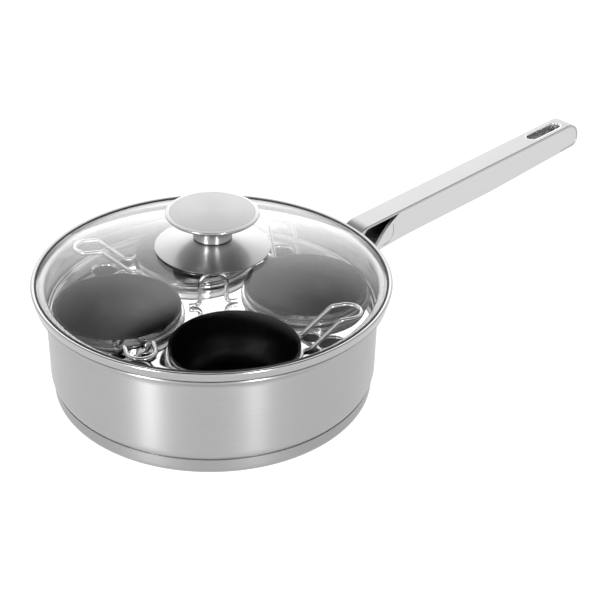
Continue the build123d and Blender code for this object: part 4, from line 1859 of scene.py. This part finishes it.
@dataclass
class Cup:
    """One steel cup, non-stick inside and over its lip, with its wire ring. Millimetres."""

    index: int
    turn: float
    reach: float = Insert.cup_reach
    first_angle: float = Insert.first_angle
    sheet: float = 0.7
    floor_z: float = 29.0
    floor_r: float = 28.5
    floor_bend_r: float = 12.0
    shoulder_r: float = 34.9
    shoulder_z: float = 43.0
    shoulder_bend_r: float = 20.0
    mouth_r: float = 36.1
    rim_z: float = 58.0
    lip_wire_r: float = 0.5
    lining_sheet: float = 0.3
    lip_coat: float = 0.14
    lip_gap: float = 0.01
    lip_coat_ends: tuple[float, float] = (-40.0, 200.0)
    wall_gap: float = 0.02
    wall_top_drop: float = 0.3
    coat_foot_drop: float = 0.4
    sides: int = 160
    plate_z: float = Insert.top_z
    seat_gap: float = 0.3
    wire_r: float = 1.3
    wire_gap: float = 0.05
    half_width: float = 7.8
    root_bend_r: float = 4.0
    loop_bend_r: float = 4.0
    flat_run: float = 4.7
    slope_share: float = 0.717
    nose_y: float = 65.58
    grip_top_z: float = 67.2

    def placed(self, piece: bpy.types.Object) -> bpy.types.Object:
        """A piece made about the cup's own axis, moved to the cup's place.

        Args:
            piece: The piece.

        Returns:
            The same piece.
        """
        angle = math.radians(self.first_angle + 360 / Insert.count * self.index)
        place = Matrix.Rotation(angle, 4, "Z") @ Matrix.Translation((self.reach * MM, 0, 0))
        piece.data.transform(place @ Matrix.Rotation(math.radians(self.turn), 4, "Z"))
        return piece

    def wall_r(self, height: float) -> float:
        """Outer radius of the gently tapered wall at a height."""
        share = (height - self.shoulder_z) / (self.rim_z - self.lip_wire_r - self.shoulder_z)
        return self.shoulder_r + (self.mouth_r - self.shoulder_r) * share

    def wall_path(self, top_z: float) -> list[Vector]:
        """Outer line of the cup, from the middle of its floor to a height.

        Args:
            top_z: That height.

        Returns:
            The line's points, radius across and height up.
        """
        corners = [
            (0, self.floor_z),
            (self.floor_r, self.floor_z),
            (self.shoulder_r, self.shoulder_z),
            (self.wall_r(top_z), top_z),
        ]
        return rounded(corners, [self.floor_bend_r, self.shoulder_bend_r])

    def shell(self) -> bpy.types.Object:
        """The steel cup with its thin rolled lip.

        Returns:
            The cup.
        """
        mouth_z = self.rim_z - self.lip_wire_r
        path = self.wall_path(mouth_z)
        roll = arc((self.mouth_r, mouth_z), self.lip_wire_r - self.lip_coat, -90, 180)
        wall_top_z = mouth_z - self.wall_top_drop
        inside = [p for p in reversed(beside(path, self.sheet)) if p.y < wall_top_z]
        outline = [*path[:-1], *roll, *inside]
        return self.placed(turned(f"cup_{self.index + 1}_steel", outline, self.sides))

    def lining(self) -> bpy.types.Object:
        """The black layer inside the cup and over its lip.

        Returns:
            The layer.
        """
        mouth_z = self.rim_z - self.lip_wire_r
        wall_top_z = mouth_z - self.wall_top_drop
        foot_z = mouth_z - self.coat_foot_drop
        foot_r = self.wall_r(foot_z) - self.sheet - self.wall_gap
        path = self.wall_path(mouth_z)
        outer = [p for p in beside(path, self.sheet + self.wall_gap) if p.y < foot_z]
        inner = [p for p in beside(path, self.sheet + self.lining_sheet) if p.y < wall_top_z]
        feet = flat([(foot_r, foot_z), (foot_r - self.lining_sheet, foot_z)])
        mouth = (self.mouth_r, mouth_z)
        front, back = self.lip_coat_ends
        under = arc(mouth, self.lip_wire_r - self.lip_coat + self.lip_gap, back, front)
        over = arc(mouth, self.lip_wire_r, front, back)
        outline = [*outer, feet[0], *under, *over, feet[1], *reversed(inner)]
        return self.placed(turned(f"cup_{self.index + 1}_coating", outline, self.sides))

    def wire_path(self) -> list[Vector]:
        """Centre line of the ring and finger loop, about the cup's own axis.

        Returns:
            The closed line's points.
        """
        base_z = self.plate_z + self.seat_gap + self.wire_r
        ring_r = self.wall_r(base_z + self.wire_r) + self.wire_gap + self.wire_r
        root_x = self.half_width + self.root_bend_r
        root_r = ring_r + self.root_bend_r
        root_y = math.sqrt(root_r**2 - root_x**2)
        root_angle = math.degrees(math.atan2(root_y, root_x))
        ring = arc((0, 0), ring_r, -90, root_angle)
        bend = arc((root_x, root_y), self.root_bend_r, 180 + root_angle, 180)
        low = [Vector((p.x, p.y, base_z)) for p in [*ring, *bend[1:]]]
        rise_y = ring_r + self.flat_run
        grip_y = rise_y + (self.nose_y - rise_y) * self.slope_share
        leg = rounded(
            [
                (self.half_width, root_y, base_z),
                (self.half_width, rise_y, base_z),
                (self.half_width, grip_y, self.grip_top_z),
                (self.half_width, self.nose_y, self.grip_top_z),
            ],
            [self.loop_bend_r, self.loop_bend_r],
        )
        bow = arc((0, self.nose_y), self.half_width, 0, 90)
        nose = [Vector((p.x, p.y, self.grip_top_z)) for p in bow]
        half = [*low, *leg[1:-1], *nose]
        return [*half, *[Vector((-p.x, p.y, p.z)) for p in reversed(half[1:-1])]]

    def build(self, shop: Workshop) -> None:
        """Makes and dresses the cup, its lining and its wire.

        Args:
            shop: The shared finishes and trees.
        """
        number = self.index + 1
        body = f"cup_{number}"
        shop.dress(self.shell(), Slot.CUP, body, f"cup_shell_{number}")
        shop.dress(self.lining(), Slot.NONSTICK, body, f"cup_lining_{number}")
        bright = shop.finishes[Slot.WIRE]
        wire = shop.wires.lay(f"cup_{number}_ring", self.wire_path(), True, self.wire_r, bright)
        shop.dress(self.placed(wire), Slot.WIRE, body, f"cup_wire_{number}")


# Light and camera


@dataclass(frozen=True)
class SoftBox:
    """A tall soft box that faces the object. Metres, watts, and degrees from the handle."""

    name: str
    azimuth: float
    width: float
    power: float
    height: float = 0.9
    distance: float = 1.3
    middle_z: float = 0.35
    aim_z: float = 0.05

    def build(self) -> None:
        """Sets up the lamp."""
        lamp = bpy.data.lights.new(self.name, "AREA")
        lamp.shape = "RECTANGLE"
        lamp.size = self.width
        lamp.size_y = self.height
        lamp.energy = self.power
        angle = math.radians(self.azimuth)
        place = Vector((math.cos(angle), math.sin(angle), 0)) * self.distance
        place.z = self.middle_z
        item = new_object(self.name, lamp)
        item.location = place
        towards = Vector((0, 0, self.aim_z)) - place
        item.rotation_euler = towards.to_track_quat("-Z", "Y").to_euler()


@dataclass
class Studio:
    """Pale floor, soft light all round with a dark ceiling, two tall soft boxes and the camera.

    Metres and degrees. Heights in the room are those of a direction, 1 straight up.
    """

    eye: tuple[float, float, float] = (-0.3732, -0.5136, 0.4344)
    look: float = 49.38
    pitch: float = 30.83
    roll: float = 1.74
    lens: float = 75.0
    sensor: float = 36.0
    near_clip: float = 0.01
    floor_size: float = 12.0
    floor_z: float = -0.0002
    wall_level: float = 1.3
    fade_start_z: float = 0.38
    fade_stops: tuple[tuple[float, float], ...] = ((0.56, 0.57), (0.68, 0.36), (0.82, 0.31))
    ceiling_z: float = 0.87
    panel_level: float = 1.3
    panel_shift: float = 0.07
    panel_half_width: tuple[float, float] = (0.44, 0.1)
    panel_full_z: float = 0.76
    boxes: tuple[SoftBox, ...] = (
        SoftBox("soft_box_left", -165.5, 0.17, 17.0),
        SoftBox("soft_box_right", -101.5, 0.16, 10.0),
    )

    def floor(self) -> None:
        """The floor, just under the resting face."""
        half = self.floor_size / 2
        mesh = bpy.data.meshes.new("studio_floor")
        corners = [(-half, -half), (half, -half), (half, half), (-half, half)]
        mesh.from_pydata([(x, y, self.floor_z) for x, y in corners], [], [[0, 1, 2, 3]])
        plane = new_object("studio_floor", mesh)
        mesh.materials.append(FLOOR_FINISH.build())

    def wall_colour(
        self, tree: bpy.types.NodeTree, height: bpy.types.NodeSocket
    ) -> bpy.types.NodeSocket:
        """Adds the walls' fade from white at the floor to the dark ceiling.

        Args:
            tree: The world's tree.
            height: Height of a direction.

        Returns:
            The socket that gives the colour.
        """
        fade = add_node(tree, "ShaderNodeValToRGB", inputs={"Fac": height})
        ramp = fade.color_ramp
        ends = ((self.fade_start_z, 1.0), (self.ceiling_z, 0.0))
        for stop, (position, level) in zip(ramp.elements, ends):
            stop.position = position
            stop.color = (level, level, level, 1)
        for position, level in self.fade_stops:
            ramp.elements.new(position).color = (level, level, level, 1)
        return fade.outputs["Color"]

    def panel_strength(
        self,
        tree: bpy.types.NodeTree,
        direction: bpy.types.NodeSocket,
        height: bpy.types.NodeSocket,
    ) -> bpy.types.NodeSocket:
        """Adds a broad lit panel behind the object, with soft sides and a soft top.

        Args:
            tree: The world's tree.
            direction: Where a ray goes.
            height: Height of that direction.

        Returns:
            The socket that gives the panel's strength.
        """
        turn = math.radians(self.look)
        axes = ((math.sin(turn), -math.cos(turn), 0), (math.cos(turn), math.sin(turn), 0))
        side, ahead = (
            add_node(
                tree, "ShaderNodeVectorMath", {"operation": "DOT_PRODUCT"}, {0: direction, 1: axis}
            ).outputs["Value"]
            for axis in axes
        )
        shifted = add_node(
            tree, "ShaderNodeMath", {"operation": "ADD"}, {0: side, 1: self.panel_shift}
        )
        off = add_node(
            tree, "ShaderNodeMath", {"operation": "ABSOLUTE"}, {0: shifted.outputs[0]}
        )
        edges = (
            (off.outputs[0], *self.panel_half_width),
            (height, self.ceiling_z, self.panel_full_z),
        )
        across, upper = (
            add_node(
                tree,
                "ShaderNodeMapRange",
                {"interpolation_type": "SMOOTHSTEP"},
                {"Value": value, "From Min": dark, "From Max": lit, "To Min": 0.0, "To Max": 1.0},
            ).outputs["Result"]
            for value, dark, lit in edges
        )
        behind = add_node(
            tree, "ShaderNodeMath", {"operation": "GREATER_THAN"}, {0: ahead, 1: 0.0}
        )
        strength = across
        for factor in (upper, behind.outputs[0], self.panel_level):
            strength = add_node(
                tree, "ShaderNodeMath", {"operation": "MULTIPLY"}, {0: strength, 1: factor}
            ).outputs[0]
        return strength

    def room(self) -> None:
        """The room: pale walls, dark ceiling and lit panel; the camera itself sees white."""
        world = bpy.data.worlds.new("studio_room")
        world.use_nodes = True
        tree = world.node_tree
        tree.nodes.clear()
        direction = add_node(tree, "ShaderNodeTexCoord").outputs["Generated"]
        height = add_node(tree, "ShaderNodeSeparateXYZ", inputs={0: direction}).outputs["Z"]
        white = (1, 1, 1, 1)
        lights = (
            (self.wall_colour(tree, height), self.wall_level),
            (white, self.panel_strength(tree, direction, height)),
            (white, 1.0),
        )
        walls, panel, backdrop = (
            add_node(
                tree, "ShaderNodeBackground", inputs={"Color": colour, "Strength": strength}
            ).outputs[0]
            for colour, strength in lights
        )
        room = add_node(tree, "ShaderNodeAddShader", inputs={0: walls, 1: panel})
        rays = add_node(tree, "ShaderNodeLightPath")
        mixed = add_node(
            tree,
            "ShaderNodeMixShader",
            inputs={0: rays.outputs["Is Camera Ray"], 1: room.outputs[0], 2: backdrop},
        )
        add_node(tree, "ShaderNodeOutputWorld", inputs={"Surface": mixed.outputs[0]})
        bpy.context.scene.world = world

    def camera(self) -> None:
        """The camera at the photograph's viewing angle."""
        turn, dip, lean = (math.radians(angle) for angle in (self.look, self.pitch, self.roll))
        level = math.cos(dip)
        ahead = Vector((math.cos(turn) * level, math.sin(turn) * level, -math.sin(dip)))
        right = Vector((math.sin(turn), -math.cos(turn), 0))
        up = right.cross(ahead)
        leaned_right = right * math.cos(lean) + up * math.sin(lean)
        leaned_up = up * math.cos(lean) - right * math.sin(lean)
        lens = bpy.data.cameras.new("camera")
        lens.lens = self.lens
        lens.sensor_width = self.sensor
        lens.clip_start = self.near_clip
        item = new_object("camera", lens)
        axes = Matrix((leaned_right, leaned_up, -ahead)).transposed()
        item.matrix_world = Matrix.Translation(self.eye) @ axes.to_4x4()
        bpy.context.scene.camera = item

    def build(self) -> None:
        """Sets up floor, room, lamps and camera."""
        self.floor()
        self.room()
        for box in self.boxes:
            box.build()
        self.camera()
        bpy.context.scene.view_settings.view_transform = "Standard"


def main() -> None:
    """Builds the sub-assemblies in order, then lights and frames them."""
    logging.basicConfig(level=logging.INFO, format="%(name)s: %(message)s")
    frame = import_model()
    finishes = {slot: finish.build() for slot, finish in FINISHES.items()}
    shop = Workshop(finishes, WireTree(), RingTree())
    Pan().build(shop, frame)
    Handle().build(shop)
    Lid().build(shop)
    Knob().build(shop, frame)
    Insert().build(shop)
    for index, turn in enumerate(CUP_TURNS):
        Cup(index, turn).build(shop)
    Studio().build()


if __name__ == "__main__":
    main()
